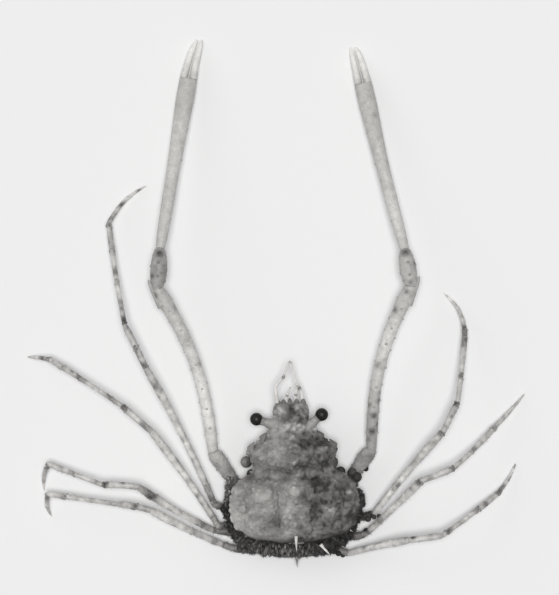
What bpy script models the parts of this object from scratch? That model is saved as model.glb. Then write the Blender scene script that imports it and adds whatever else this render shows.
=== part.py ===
"""Euprognatha granulata, a small spider crab: one large male as a still, life-size museum model.

The script works in millimetres in the crab's own frame: forward is +Y, the crab's right is +X, up is +Z, and
the floor under its heart region is the origin. Every finished mesh is turned to metres, and one empty carries
them all to their place, so that the model's own origin lies on the floor at the middle of its outline.
"""
import math
import random

import bmesh
import bpy
import numpy as np
from mathutils import Matrix, Vector

# Scale and place
METRES = 0.001
BODY_PLACE = (1.54, -15.90, 0.0)
BODY_TURN = 2.4
GAP = 0.25
UP = np.array((0.0, 0.0, 1.0))

# Carapace, from the hind edge to the tip of the rostrum:
# place along the axis, half width, height of the back, height of the widest line, height of the lower side
SHELL = np.array((
    (-4.50, 0.80, 3.55, 3.00, 2.45),
    (-4.20, 2.75, 4.10, 3.05, 2.25),
    (-3.80, 4.15, 4.55, 3.10, 2.20),
    (-3.30, 4.85, 4.90, 3.15, 2.20),
    (-2.40, 5.35, 5.15, 3.20, 2.20),
    (-1.50, 5.50, 5.30, 3.25, 2.20),
    (-0.60, 5.48, 5.45, 3.30, 2.20),
    (0.10, 5.25, 5.50, 3.30, 2.20),
    (0.80, 4.85, 5.20, 3.30, 2.20),
    (1.35, 4.05, 5.10, 3.35, 2.20),
    (1.90, 3.46, 5.30, 3.40, 2.20),
    (2.60, 3.52, 5.55, 3.45, 2.20),
    (3.50, 3.78, 5.35, 3.50, 2.30),
    (4.10, 3.05, 5.00, 3.60, 2.50),
    (4.70, 2.50, 4.75, 3.70, 2.75),
    (5.30, 1.85, 4.60, 3.80, 2.95),
    (5.90, 1.52, 4.55, 3.85, 3.10),
    (6.60, 1.50, 4.50, 3.85, 3.20),
    (7.15, 1.46, 4.35, 3.85, 3.35),
    (7.40, 1.30, 4.20, 3.85, 3.50),
))
SHELL_STEPS = 38
SHELL_HALF_SIDES = 12
# stations along the axis: even share, crowded share and its power, which crowds them towards the hind edge
SHELL_SPACING = (0.72, 0.28, 2.2)
# powers of the outline across: sideways, back, lower side, and how fast the swellings fade towards the edge
SIDE_POWER = 0.85
BACK_POWER = 0.92
LOWER_POWER = 0.60
SWELL_POWER = 0.7
EDGE_SHARE = 0.98

# Swollen regions of the back and the grooves between them:
# out from the midline, along the axis, reach sideways, reach lengthwise, rise
REGIONS = (
    (0.00, 3.00, 1.30, 1.20, 0.45),
    (0.00, -0.10, 1.05, 1.10, 0.50),
    (0.00, -2.90, 1.00, 0.90, 0.30),
    (3.10, -0.60, 1.30, 1.10, 0.40),
    (2.90, -2.60, 1.30, 0.80, 0.30),
    (2.70, 3.30, 0.70, 0.80, 0.30),
    (1.60, -0.40, 0.35, 1.40, -0.35),
    (1.50, -2.30, 0.35, 0.90, -0.30),
    (1.90, 1.45, 1.00, 0.40, -0.45),
    (0.00, 1.30, 0.90, 0.35, -0.25),
    (0.00, 5.60, 0.45, 1.10, -0.20),
)

# Spines of the carapace: out from the midline, along the axis, lean outward, lean forward, root radius,
# length. A spine off the midline is made on both sides.
SHELL_SPINES = (
    (0.00, 2.90, 0.0, 0.3, 0.30, 0.65),
    (0.00, 0.10, 0.0, 0.1, 0.34, 0.75),
    (0.00, -4.05, 0.0, -2.6, 0.32, 1.25),
    (1.80, 2.40, 0.2, 0.2, 0.24, 0.42),
    (4.45, -1.40, 0.9, 0.0, 0.28, 0.50),
    (4.95, 0.25, 1.6, 0.4, 0.26, 0.42),
    (3.45, 3.70, 2.2, 0.6, 0.30, 0.60),
    (2.45, 4.55, 2.4, 1.2, 0.26, 0.55),
    (1.32, 6.70, 1.4, 0.8, 0.20, 0.32),
)

# Spines at the front, all pointing forward: out from the midline, height, root radius, length
FRONT_SPINES = (
    (-0.58, 4.00, 0.24, 0.50),
    (0.52, 4.00, 0.24, 0.50),
    (-0.05, 3.72, 0.20, 0.62),
    (-1.02, 3.80, 0.24, 0.42),
    (1.08, 3.80, 0.24, 0.46),
)

# Spines sink this far under the surface that they stand on
SPINE_SINK = 0.22
# flare of a spine's foot, and share of the length and of the radius at its waist
FOOT_FLARE = 1.08
WAIST = (0.45, 0.62)

# Granules: how many, their field (half width, middle and half length along the axis), the stretch of the axis
# and the share of the half width that they keep to, how far each may stray, radius from and to, height as a
# share of the radius
GRANULES = 140
GRANULE_FIELD = (5.5, 1.5, 6.2)
GRANULE_STRETCH = (-4.0, 6.9)
GRANULE_EDGE = 0.93
GRANULE_STRAY = 0.12
GRANULE_RADIUS = (0.15, 0.27)
GRANULE_RISE = 0.9
GOLDEN_TURN = math.radians(137.508)

# A pale knob on the left flank, in the notch behind the hepatic region: out, along, height, radius
FLANK_KNOB = (3.95, 2.55, 3.05, 0.52)

# Breast plate: its floor and top, the chamfers of its lower and upper edge, the front and rear planes of its
# outline, and its middle
THORAX_HEIGHTS = (0.90, 1.95)
THORAX_CHAMFERS = (0.22, 0.15)
FRONT_EDGE = 1.45
REAR_EDGE = -4.85
THORAX_MIDDLE = (0.0, -1.7)

# Where each leg springs from the breast plate: out, along, and the way its socket faces from straight ahead
HIPS = {
    1: (4.85, 0.10, 58.0),
    2: (4.75, -1.20, 76.0),
    3: (4.65, -2.50, 90.0),
    4: (4.15, -3.70, 101.0),
    5: (2.80, -4.72, 118.0),
}
HIP_HEIGHT = 1.42

# Tail flap, folded under the body: along the axis, height, half width, half thickness
TAIL = np.array((
    (-5.30, 2.95, 1.70, 0.22),
    (-5.48, 2.30, 2.05, 0.26),
    (-5.46, 1.50, 2.02, 0.28),
    (-5.14, 0.80, 1.80, 0.29),
    (-4.45, 0.36, 1.62, 0.31),
    (-3.40, 0.31, 1.50, 0.31),
    (-2.30, 0.31, 1.25, 0.31),
    (-1.20, 0.31, 1.10, 0.31),
    (-0.10, 0.31, 0.95, 0.31),
    (0.90, 0.31, 0.45, 0.31),
))
TAIL_STEPS = 27
TAIL_SEAM = 0.06
STATIONS_PER_RING = 4
# outline across the tail, as shares of the half width and half thickness
TAIL_SECTION = ((-1.0, 0.45), (-0.72, 1.0), (0.0, 1.0), (0.72, 1.0), (1.0, 0.45), (1.0, -0.45), (0.72, -1.0),
                (0.0, -1.0), (-0.72, -1.0), (-1.0, -0.45))
# the spine of its first ring: root, way, radius, length
TAIL_SPINE = ((0.0, -5.62, 2.35), (0.0, -1.0, 0.05), 0.24, 0.95)

# Outer mouth limbs under the head: along the axis, inner edge, outer edge, thickness
MOUTH_PLATES = np.array((
    (1.75, 0.16, 1.30, 0.45),
    (2.20, 0.14, 1.70, 0.60),
    (3.20, 0.14, 1.62, 0.62),
    (3.60, 0.20, 1.40, 0.52),
    (3.80, 0.16, 1.78, 0.62),
    (4.50, 0.16, 1.85, 0.60),
    (5.05, 0.30, 1.05, 0.45),
))
MOUTH_STEPS = 14
# outline across a mouth limb: share of the half width, and depth as a share of the thickness
MOUTH_SECTION = ((-1.0, 0.75), (-0.8, 1.0), (0.0, 0.92), (0.8, 1.0), (1.0, 0.75), (1.0, 0.2), (0.8, 0.0),
                 (-0.8, 0.0), (-1.0, 0.2))

# Eyes: root and tip of the stalk on each side (out, along, height), stalk radii, ball radius
STALKS = {
    "left": ((1.75, 5.72, 3.95), (2.55, 6.03, 4.05)),
    "right": ((1.72, 5.60, 3.95), (2.28, 6.10, 4.10)),
}
STALK_RADII = (0.46, 0.30)
EYE_CENTRE = {"left": (2.93, 6.17, 4.12), "right": (2.62, 6.33, 4.18)}
EYE_RADIUS = 0.53
# the side of the head that a stalk stands on, how far the stalk stays off the ball, and the ball's rings in
# degrees from the stalk
HEAD_WALL = (1.0, 0.35, 0.0)
EYE_SEAT = 0.80
EYE_RINGS = (37, 60, 85, 110, 135, 155, 170)

# Feelers: points from root to tip on each side (out, along, height) and the radius at each
FEELERS = {
    "left": ((1.12, 7.66, 4.15), (1.10, 8.98, 4.55), (0.50, 9.65, 4.60), (0.20, 10.40, 4.50),
             (-0.10, 10.98, 4.35)),
    "right": ((1.08, 7.66, 3.45), (0.92, 8.40, 3.50), (0.58, 9.05, 3.60), (0.36, 10.00, 3.65),
              (0.20, 10.90, 3.60)),
}
FEELER_STEPS = 15
FEELER_RADII = (0.27, 0.26, 0.26, 0.22, 0.12)

# Claw arms: length, heading outward from straight ahead, rise, bow towards the midline, then the size rows
ARM_POSE = {
    "left": ((1.29, 22, 17, 0.0), (2.80, 32, 15, 0.0), (14.79, 16.3, 8.1, 0.97), (3.36, -6.3, -1.7, 0.0),
             (15.01, -11.6, -11.9, -0.02), (3.80, -18, None, 0.0)),
    "right": ((1.17, 17, 18.5, 0.0), (2.65, 37, 15, 0.0), (14.40, 15.9, 8.4, 0.95), (3.10, -7, -2, 0.0),
              (14.90, -11.4, -12.0, 0.10), (3.58, -12.8, None, 0.0)),
}

# Size rows of a piece: place along it from 0 to 1, half width, half height
ARM_SIZES = {
    "coxa": ((0.0, 0.52, 0.46), (0.5, 0.56, 0.50), (1.0, 0.50, 0.48)),
    "ischium": ((0.0, 0.50, 0.48), (0.35, 0.58, 0.50), (0.8, 0.62, 0.52), (1.0, 0.50, 0.46)),
    "merus": ((0.0, 0.42, 0.42), (0.06, 0.46, 0.45), (0.4, 0.48, 0.48), (0.8, 0.54, 0.54),
              (0.95, 0.60, 0.58), (1.0, 0.50, 0.50)),
    "wrist": ((0.0, 0.48, 0.46), (0.25, 0.66, 0.58), (0.65, 0.68, 0.58), (1.0, 0.46, 0.46)),
    "palm": ((0.0, 0.38, 0.34), (0.06, 0.44, 0.44), (0.25, 0.52, 0.50), (0.50, 0.56, 0.54),
             (0.70, 0.66, 0.58), (0.90, 0.76, 0.60), (1.0, 0.74, 0.56)),
}
ARM_PIECES = ("coxa", "ischium", "merus", "wrist", "palm")
# places of the rings along each piece
ARM_STEPS = {
    "coxa": (0.0, 0.35, 0.7, 1.0),
    "ischium": (0.0, 0.15, 0.4, 0.65, 0.85, 1.0),
    "merus": (0.0, 0.03, 0.10, 0.20, 0.30, 0.40, 0.50, 0.60, 0.70, 0.80, 0.89, 0.96, 1.0),
    "wrist": (0.0, 0.15, 0.35, 0.6, 0.85, 1.0),
    "palm": (0.0, 0.03, 0.10, 0.22, 0.35, 0.50, 0.65, 0.80, 0.92, 1.0),
}
ARM_SIDES = 10
# Rows of low blunt thorns: for each row the angle round the piece and how many, then their root radius
THORN_ROWS = {
    "ischium": (((15.0, 3), (165.0, 3)), 0.11),
    "merus": (((8.0, 9), (90.0, 7), (172.0, 9)), 0.12),
    "wrist": (((20.0, 3), (90.0, 2), (160.0, 3)), 0.12),
    "palm": (((172.0, 5),), 0.09),
}
# a thorn's length as a share of its radius, the stretch of the piece that thorns keep to, how far each may
# stray along it as a share of their spacing, and round it in degrees, and the range of their sizes
THORN_RISE = 1.2
THORN_STRETCH = (0.06, 0.94)
THORN_STRAY = (0.2, 12.0)
THORN_RANGE = (0.8, 1.25)
# the dark knob on the right ischium: place along it, radius, length
ISCHIUM_KNOB = (0.30, 0.24, 0.40)

# Fingers, seen along the hand: place along the finger, outer edge, inner edge, half height. The slit between
# them is twice the inner edge wide.
FIXED_FINGER = ((0.02, 0.73, 0.10, 0.52), (0.30, 0.66, 0.12, 0.42), (0.60, 0.60, 0.13, 0.34),
                (0.85, 0.48, 0.13, 0.24), (0.97, 0.34, 0.13, 0.14))
MOVING_FINGER = ((0.00, 0.72, 0.20, 0.50), (0.10, 0.71, 0.14, 0.50), (0.32, 0.65, 0.14, 0.42),
                 (0.60, 0.58, 0.13, 0.34), (0.85, 0.46, 0.13, 0.24), (1.0, 0.30, 0.13, 0.14))

# Walking legs: length, heading outward from straight ahead, rise and bow towards the midline of base, merus,
# carpus, propodus and dactyl. The dactyl has no rise of its own: it comes down to the floor.
LEG_POSE = {
    ("left", 2): ((2.18, 84, 17.4, -0.20), (13.36, 23.9, 13.5, 0.22), (4.05, 24, -3, 0.0),
                  (9.41, 7.2, -20.5, -0.10), (4.85, -47, None, -0.38)),
    ("left", 3): ((2.11, 99.6, 24.4, -0.10), (10.25, 32.5, 14.9, 0.15), (3.31, 47, -3, 0.0),
                  (7.34, 55, -10, 0.05), (4.00, 82, None, 0.05)),
    ("left", 4): ((2.94, 79.8, -1.5, 0.0), (7.99, 56.7, 23.3, -0.15), (3.04, 84, -2, 0.07),
                  (5.16, 67.2, -15.9, -0.02), (3.74, 166, None, 0.20)),
    ("left", 5): ((3.54, 84.9, 7.3, -0.35), (7.15, 61.4, 18.9, -0.10), (2.83, 77, -2, 0.08),
                  (6.15, 79.8, -12, 0.0), (3.39, 183.5, None, 0.25)),
    ("right", 3): ((2.19, 85, 18.3, -0.15), (9.72, 41.8, 20, 0.10), (2.78, 29, -8, 0.0),
                   (6.79, 9.3, -27, -0.07), (4.15, -26.2, None, -0.40)),
    ("right", 4): ((2.20, 91.4, 14.9, -0.45), (6.80, 47.4, 25.4, -0.03), (3.00, 71, -4, -0.06),
                   (5.80, 48.9, -31, -0.10), (4.10, 45.3, None, -0.06)),
    ("right", 5): ((1.87, 119.8, 14.5, -0.10), (5.95, 78.8, 27, 0.06), (2.84, 84.7, -2, -0.03),
                   (6.44, 57, -26.6, -0.05), (3.48, 35.3, None, -0.15)),
}
LEG_SIZES = {
    "base": ((0.0, 0.44, 0.42), (0.35, 0.38, 0.36), (0.75, 0.29, 0.29), (1.0, 0.27, 0.27)),
    "merus": ((0.0, 0.26, 0.26), (0.08, 0.27, 0.28), (0.5, 0.28, 0.29), (0.88, 0.33, 0.33),
              (1.0, 0.28, 0.28)),
    "carpus": ((0.0, 0.27, 0.27), (0.5, 0.29, 0.29), (0.85, 0.30, 0.29), (1.0, 0.26, 0.26)),
    "propodus": ((0.0, 0.25, 0.25), (0.5, 0.25, 0.25), (0.85, 0.27, 0.26), (1.0, 0.25, 0.25)),
    "dactyl": ((0.0, 0.25, 0.25), (0.6, 0.25, 0.25), (0.88, 0.18, 0.18), (1.0, 0.08, 0.08)),
}
LEG_PIECES = ("base", "merus", "carpus", "propodus", "dactyl")
LEG_STEPS = {
    "base": (0.0, 0.22, 0.45, 0.70, 1.0),
    "merus": (0.0, 0.06, 0.20, 0.36, 0.52, 0.68, 0.84, 0.94, 1.0),
    "carpus": (0.0, 0.18, 0.5, 0.82, 1.0),
    "propodus": (0.0, 0.10, 0.28, 0.46, 0.64, 0.82, 0.92, 1.0),
    "dactyl": (0.0, 0.20, 0.36, 0.52, 0.68, 0.82, 0.92, 1.0),
}
LEG_SIDES = 8
# height of a leg's tip above the floor, and how much higher the tip of a claw stands
TIP_HEIGHT = 0.07
CLAW_LIFT = 0.06

# The second right leg is lost: only the stump of its hip is there
STUMP_POSE = (1.25, 88, 14, 0.0)
STUMP_SIZES = ((0.0, 0.46, 0.44), (0.6, 0.55, 0.52), (1.0, 0.42, 0.38))
STUMP_STEPS = (0.0, 0.3, 0.6, 0.85, 1.0)

# Faces that meet at more than this angle keep a sharp edge between them
SHARP_ANGLE = math.radians(40)

# Colours as red, green and blue from 0 to 1, with the roughness
COLOURS = {
    "shell": ((0.23, 0.22, 0.205), 0.65),
    "under": ((0.33, 0.32, 0.30), 0.60),
    "arm": ((0.50, 0.49, 0.47), 0.50),
    "leg": ((0.46, 0.45, 0.43), 0.50),
    "hip": ((0.12, 0.115, 0.11), 0.80),
    "eye": ((0.012, 0.012, 0.012), 0.15),
}


def clear_scene():
    """Removes whatever the file holds before the model is made."""
    for thing in list(bpy.data.objects):
        bpy.data.objects.remove(thing)


def finish_of(kind):
    """The material of one kind of surface, made once."""
    found = bpy.data.materials.get(kind)
    if found:
        return found
    colour, roughness = COLOURS[kind]
    made = bpy.data.materials.new(kind)
    made.use_nodes = True
    shader = made.node_tree.nodes["Principled BSDF"]
    shader.inputs["Base Color"].default_value = (*colour, 1.0)
    shader.inputs["Roughness"].default_value = roughness
    shader.inputs["Metallic"].default_value = 0.0
    return made


def from_table(table, column, at):
    """A column of a table between its rows, by cubic curves whose slope at a row is its neighbours'."""
    place = table[:, 0]
    value = table[:, column]
    slope = np.gradient(value, place)
    row = np.clip(np.searchsorted(place, at) - 1, 0, len(place) - 2)
    width = place[row + 1] - place[row]
    part = (at - place[row]) / width
    near = value[row] * (1 + 2 * part) * (1 - part) ** 2 + value[row + 1] * part ** 2 * (3 - 2 * part)
    turn = slope[row] * part * (1 - part) ** 2 - slope[row + 1] * part ** 2 * (1 - part)
    return near + turn * width


def unit(vector):
    """The vector divided by its own length."""
    return vector / np.linalg.norm(vector)


def loft(rings):
    """Vertices and faces of a closed skin over rings of equal counts, its two ends filled flat."""
    sides = len(rings[0])
    count = len(rings)
    verts = [tuple(point) for ring in rings for point in ring]
    faces = []
    for row in range(count - 1):
        for side in range(sides):
            beside = (side + 1) % sides
            low = row * sides
            high = low + sides
            faces.append((low + side, low + beside, high + beside, high + side))
    faces.append(tuple(range(sides - 1, -1, -1)))
    faces.append(tuple(range((count - 1) * sides, count * sides)))
    return verts, faces


def cone(root, along, radius, length, sides=6, sink=SPINE_SINK, tip=0.12, waist=True):
    """A blunt spine from under the surface at its root, tapering along its way and drawn in at a waist."""
    along = unit(along)
    helper = UP if abs(along[2]) < 0.9 else np.array((1.0, 0.0, 0.0))
    across = unit(np.cross(along, helper))
    other = np.cross(along, across)
    angles = np.arange(sides) * 2 * math.pi / sides
    circle = np.outer(np.cos(angles), across) + np.outer(np.sin(angles), other)
    rings = [root - along * sink + circle * radius * FOOT_FLARE]
    if waist:
        rings.append(root + along * length * WAIST[0] + circle * radius * WAIST[1])
    rings.append(root + along * length + circle * radius * tip)
    return loft(rings)


def mesh_object(name, verts, faces):
    """An object of that name with a new mesh of those vertices and faces."""
    mesh = bpy.data.meshes.new(name)
    mesh.from_pydata([tuple(point) for point in verts], [], faces)
    thing = bpy.data.objects.new(name, mesh)
    return thing


def outward(mesh):
    """Turns all faces of a closed mesh to point out."""
    work = bmesh.new()
    work.from_mesh(mesh)
    bmesh.ops.recalc_face_normals(work, faces=work.faces)
    if work.calc_volume(signed=True) < 0:
        bmesh.ops.reverse_faces(work, faces=work.faces)
    work.to_mesh(mesh)
    work.free()


def keep_largest(mesh):
    """Drops every closed surface of the mesh but the one with the most faces."""
    work = bmesh.new()
    work.from_mesh(mesh)
    left = set(work.verts)
    groups = []
    while left:
        group = {left.pop()}
        edge_of_group = list(group)
        while edge_of_group:
            vert = edge_of_group.pop()
            for edge in vert.link_edges:
                other = edge.other_vert(vert)
                if other in left:
                    left.remove(other)
                    group.add(other)
                    edge_of_group.append(other)
        groups.append(group)
    groups.sort(key=len)
    for group in groups[:-1]:
        bmesh.ops.delete(work, geom=list(group), context="VERTS")
    work.to_mesh(mesh)
    work.free()


def fuse(thing, pieces):
    """Joins small closed pieces to an object with one Boolean union on a collection."""
    group = bpy.data.collections.new("pieces")
    bpy.context.scene.collection.children.link(group)
    for number, (verts, faces) in enumerate(pieces):
        piece = mesh_object(f"piece_{number}", verts, faces)
        outward(piece.data)
        group.objects.link(piece)
    union = thing.modifiers.new("union", "BOOLEAN")
    union.operation = "UNION"
    union.operand_type = "COLLECTION"
    union.collection = group
    union.solver = "MANIFOLD"
    graph = bpy.context.evaluated_depsgraph_get()
    joined = bpy.data.meshes.new_from_object(thing.evaluated_get(graph))
    thing.modifiers.remove(union)
    thing.data = joined
    for piece in list(group.objects):
        bpy.data.objects.remove(piece)
    bpy.data.collections.remove(group)
    keep_largest(joined)


def add_node(name, rings, kind, side="right", pieces=()):
    """One named part over a row of rings, with the pieces fused to it. Parts are shaped on the crab's right,
    and those of the left are mirrored across the midline."""
    verts, faces = loft(rings)
    thing = mesh_object(name, verts, faces)
    bpy.context.scene.collection.objects.link(thing)
    outward(thing.data)
    if pieces:
        fuse(thing, pieces)
    if side == "left":
        thing.data.transform(Matrix.Diagonal((-1.0, 1.0, 1.0, 1.0)))
        outward(thing.data)
    for vert in thing.data.vertices:
        vert.co.z = max(vert.co.z, 0.0)
    thing.data.transform(Matrix.Scale(METRES, 4))
    thing.data.materials.clear()
    thing.data.materials.append(finish_of(kind))
    thing.data.shade_smooth()
    thing.data.set_sharp_from_angle(angle=SHARP_ANGLE)
    thing.parent = bpy.data.objects["body_axes"]
    return thing


def shell_point(along, angle, side=1.0):
    """Carapace surface: the angle is -90 in the middle of the lower side, 0 on the widest line and 90 on the
    midline of the back."""
    half, back, line, low = (from_table(SHELL, column, along) for column in (1, 2, 3, 4))
    cosine = np.cos(np.radians(angle))
    sine = np.sin(np.radians(angle))
    out = half * np.sign(cosine) * np.abs(cosine) ** SIDE_POWER
    above = line + (back - line) * np.abs(sine) ** BACK_POWER
    below = line - (line - low) * np.abs(sine) ** LOWER_POWER
    height = np.where(sine >= 0, above, below)
    weight = np.clip(sine, 0.0, 1.0) ** SWELL_POWER
    for place_out, place_along, reach_out, reach_along, rise in REGIONS:
        far = ((out - place_out) / reach_out) ** 2 + ((along - place_along) / reach_along) ** 2
        height = height + weight * rise * np.exp(-far)
    return np.array((side * out, along + 0.0 * out, height))


def shell_normal(along, angle, side):
    """The way straight out of the carapace, across its slopes along the axis and round it."""
    step = 0.05
    ahead = shell_point(along + step, angle, side) - shell_point(along - step, angle, side)
    round_it = shell_point(along, angle + 1.0, side) - shell_point(along, angle - 1.0, side)
    normal = unit(np.cross(round_it, ahead))
    centre = np.array((0.0, along, from_table(SHELL, 3, along)))
    return normal if normal @ (shell_point(along, angle, side) - centre) > 0 else -normal


def shell_angle(along, out):
    """The angle at which the upper side of the carapace stands this far out from the midline."""
    half = from_table(SHELL, 1, along)
    ratio = min(abs(out) / half, EDGE_SHARE)
    return math.degrees(math.acos(ratio ** (1 / SIDE_POWER)))


def carapace():
    """The shield over the back, with its spines, granules and flank knob fused to it."""
    start, end = SHELL[0, 0], SHELL[-1, 0]
    steps = np.linspace(0.0, 1.0, SHELL_STEPS)
    even, crowded, power = SHELL_SPACING
    places = start + (end - start) * (even * steps + crowded * steps ** power)
    angles = np.linspace(-90.0, 90.0, SHELL_HALF_SIDES)
    rings = []
    for along in places:
        right = [shell_point(along, angle, 1.0) for angle in angles]
        left = [shell_point(along, angle, -1.0) for angle in angles[-2:0:-1]]
        for point in (right[0], right[-1]):
            point[0] = 0.0
        rings.append(right + left)
    pieces = shell_spines() + shell_granules()
    out, along, height, radius = FLANK_KNOB
    pieces.append(ball((-out, along, height), radius, 8, 5))
    add_node("carapace", rings, "shell", pieces=pieces)


def ball(centre, radius, sides, rows):
    """A closed ball of few sides, its first and last ring a little off the poles."""
    rings = []
    for angle in np.linspace(0.24, math.pi - 0.24, rows):
        ring = []
        for side in range(sides):
            turn = 2 * math.pi * side / sides
            ring.append(np.array(centre) + radius * np.array((
                math.sin(angle) * math.cos(turn), math.sin(angle) * math.sin(turn), -math.cos(angle))))
        rings.append(ring)
    return loft(rings)


def shell_spines():
    """The spines of the back, along the surface's own way out and their lean, and the teeth of the front."""
    pieces = []
    for out, along, lean_out, lean_ahead, radius, length in SHELL_SPINES:
        for side in ((1.0,) if out == 0 else (1.0, -1.0)):
            angle = shell_angle(along, out)
            root = shell_point(along, angle, side)
            way = shell_normal(along, angle, side) + np.array((side * lean_out, lean_ahead, 0.0))
            pieces.append(cone(root, way, radius, length, sides=8))
    for out, height, radius, length in FRONT_SPINES:
        root = np.array((out, SHELL[-1, 0], height))
        pieces.append(cone(root, np.array((0.08 * out, 1.0, 0.0)), radius, length))
    return pieces


def shell_granules():
    """Low blunt granules over the back, spread by the golden angle and varied in size."""
    draw = random.Random(7)
    half_width, middle, half_length = GRANULE_FIELD
    pieces = []
    for number in range(1, GRANULES):
        turn = number * GOLDEN_TURN
        radius = math.sqrt(number / GRANULES)
        out = half_width * radius * math.cos(turn) + draw.uniform(-GRANULE_STRAY, GRANULE_STRAY)
        along = middle + half_length * radius * math.sin(turn) + draw.uniform(-GRANULE_STRAY, GRANULE_STRAY)
        if not GRANULE_STRETCH[0] <= along <= GRANULE_STRETCH[1]:
            continue
        if abs(out) > GRANULE_EDGE * from_table(SHELL, 1, along):
            continue
        side = math.copysign(1.0, out)
        angle = shell_angle(along, out)
        size = draw.uniform(*GRANULE_RADIUS)
        way = shell_normal(along, angle, side)
        root = shell_point(along, angle, side)
        rise = size * GRANULE_RISE
        pieces.append(cone(root, way, size, rise, sides=5, sink=0.10, tip=0.35, waist=False))
    return pieces


def thorax():
    """A flat plate whose outline is made of the planes that the legs stand on."""
    lines = [(np.array((0.0, 1.0)), FRONT_EDGE)]
    for out, along, facing in HIPS.values():
        way = np.array((math.sin(math.radians(facing)), math.cos(math.radians(facing))))
        lines.append((way, way @ np.array((out, along)) - GAP))
    lines.append((np.array((0.0, -1.0)), -REAR_EDGE))
    corners = []
    for (way, reach), (next_way, next_reach) in zip(lines, lines[1:]):
        corners.append(np.linalg.solve(np.array((way, next_way)), np.array((reach, next_reach))))
    outline = corners + [corner * (-1.0, 1.0) for corner in reversed(corners)]
    low, high = THORAX_HEIGHTS
    lower_edge, upper_edge = THORAX_CHAMFERS
    middle = np.array(THORAX_MIDDLE)
    levels = ((low, lower_edge), (low + lower_edge, 0.0), (high - upper_edge, 0.0), (high, upper_edge))
    rings = []
    for height, inset in levels:
        ring = []
        for corner in outline:
            shrink = 1.0 - inset / np.linalg.norm(corner - middle)
            inner = middle + (corner - middle) * shrink
            ring.append((inner[0], inner[1], height))
        rings.append(ring)
    add_node("thorax", rings, "under")


def tail():
    """The narrow tail of a male: a bent plate with a seam across it at each ring, one spine on the first."""
    steps = np.linspace(0.0, 1.0, TAIL_STEPS)
    length = np.concatenate(([0.0], np.cumsum(np.hypot(np.diff(TAIL[:, 0]), np.diff(TAIL[:, 1])))))
    table = np.column_stack((length / length[-1], TAIL))
    rings = []
    for number, step in enumerate(steps):
        along, height, half, thick = (from_table(table, column, step) for column in (1, 2, 3, 4))
        ahead = np.array([from_table(table, column, min(step + 0.01, 1.0)) for column in (1, 2)])
        behind = np.array([from_table(table, column, max(step - 0.01, 0.0)) for column in (1, 2)])
        way = unit(ahead - behind)
        inward = np.array((-way[1], way[0]))
        seam = TAIL_SEAM if number % STATIONS_PER_RING == 0 else 0.0
        half = half - seam
        ring = []
        for across, depth in TAIL_SECTION:
            reach = depth * (thick - (seam if depth > 0 else 0.0))
            ring.append((across * half, along + inward[0] * reach, height + inward[1] * reach))
        rings.append(ring)
    root, way, radius, length = TAIL_SPINE
    spine = cone(np.array(root), np.array(way), radius, length)
    add_node("abdomen", rings, "under", pieces=[spine])


def mouth_limbs():
    """Two flat jaw-feet that lie side by side under the head."""
    for side in ("left", "right"):
        rings = []
        for along in np.linspace(MOUTH_PLATES[0, 0], MOUTH_PLATES[-1, 0], MOUTH_STEPS):
            inner, outer, thick = (from_table(MOUTH_PLATES, column, along) for column in (1, 2, 3))
            top = shell_point(along, -90.0)[2] - GAP
            middle = (inner + outer) / 2
            half = (outer - inner) / 2
            ring = []
            for across, depth in MOUTH_SECTION:
                ring.append((middle + across * half, along, top - depth * thick))
            rings.append(ring)
        add_node(f"maxilliped_{side}", rings, "under", side)


def eyes():
    """Each eye is a tapering stalk on the side of the head and a ball that is open flat towards the stalk."""
    root_radius, tip_radius = STALK_RADII
    stalk_sizes = ((0.0, root_radius, root_radius), (1.0, tip_radius, tip_radius))
    wall = unit(np.array(HEAD_WALL))
    for side, (root, tip) in STALKS.items():
        root, tip = np.array(root), np.array(tip)
        centre = np.array(EYE_CENTRE[side])
        away = unit(centre - tip)
        tip = centre - away * (EYE_RADIUS * EYE_SEAT + GAP)
        stalk = Tube(root, tip, np.zeros(3), stalk_sizes)
        rings = stalk.rings((0.0, 0.5, 1.0), 10, (root, wall), (tip, away))
        add_node(f"eyestalk_{side}", rings, "under", side)
        across = unit(np.cross(away, UP))
        over = np.cross(across, away)
        rings = []
        for angle in np.radians(EYE_RINGS):
            spots = np.arange(12) * math.pi / 6
            circle = np.outer(np.cos(spots), across) + np.outer(np.sin(spots), over)
            rings.append(centre - away * EYE_RADIUS * math.cos(angle) + circle * EYE_RADIUS * math.sin(angle))
        add_node(f"eye_{side}", rings, "eye", side)


def feelers():
    """The two antennae, round tubes along a smooth curve through their points."""
    for side, points in FEELERS.items():
        points = np.array(points)
        length = np.concatenate(([0.0], np.cumsum(np.linalg.norm(np.diff(points, axis=0), axis=1))))
        table = np.column_stack((length / length[-1], points, FEELER_RADII))
        rings = []
        for step in np.linspace(0.0, 1.0, FEELER_STEPS):
            centre = np.array([from_table(table, column, step) for column in (1, 2, 3)])
            ahead = np.array([from_table(table, column, min(step + 0.02, 1.0)) for column in (1, 2, 3)])
            behind = np.array([from_table(table, column, max(step - 0.02, 0.0)) for column in (1, 2, 3)])
            way = unit(ahead - behind)
            across = unit(np.cross(way, UP))
            over = np.cross(across, way)
            spots = np.arange(8) * math.pi / 4
            circle = np.outer(np.cos(spots), across) + np.outer(np.sin(spots), over)
            rings.append(centre + circle * from_table(table, 4, step))
        add_node(f"antenna_{side}", rings, "arm", side)


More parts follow.
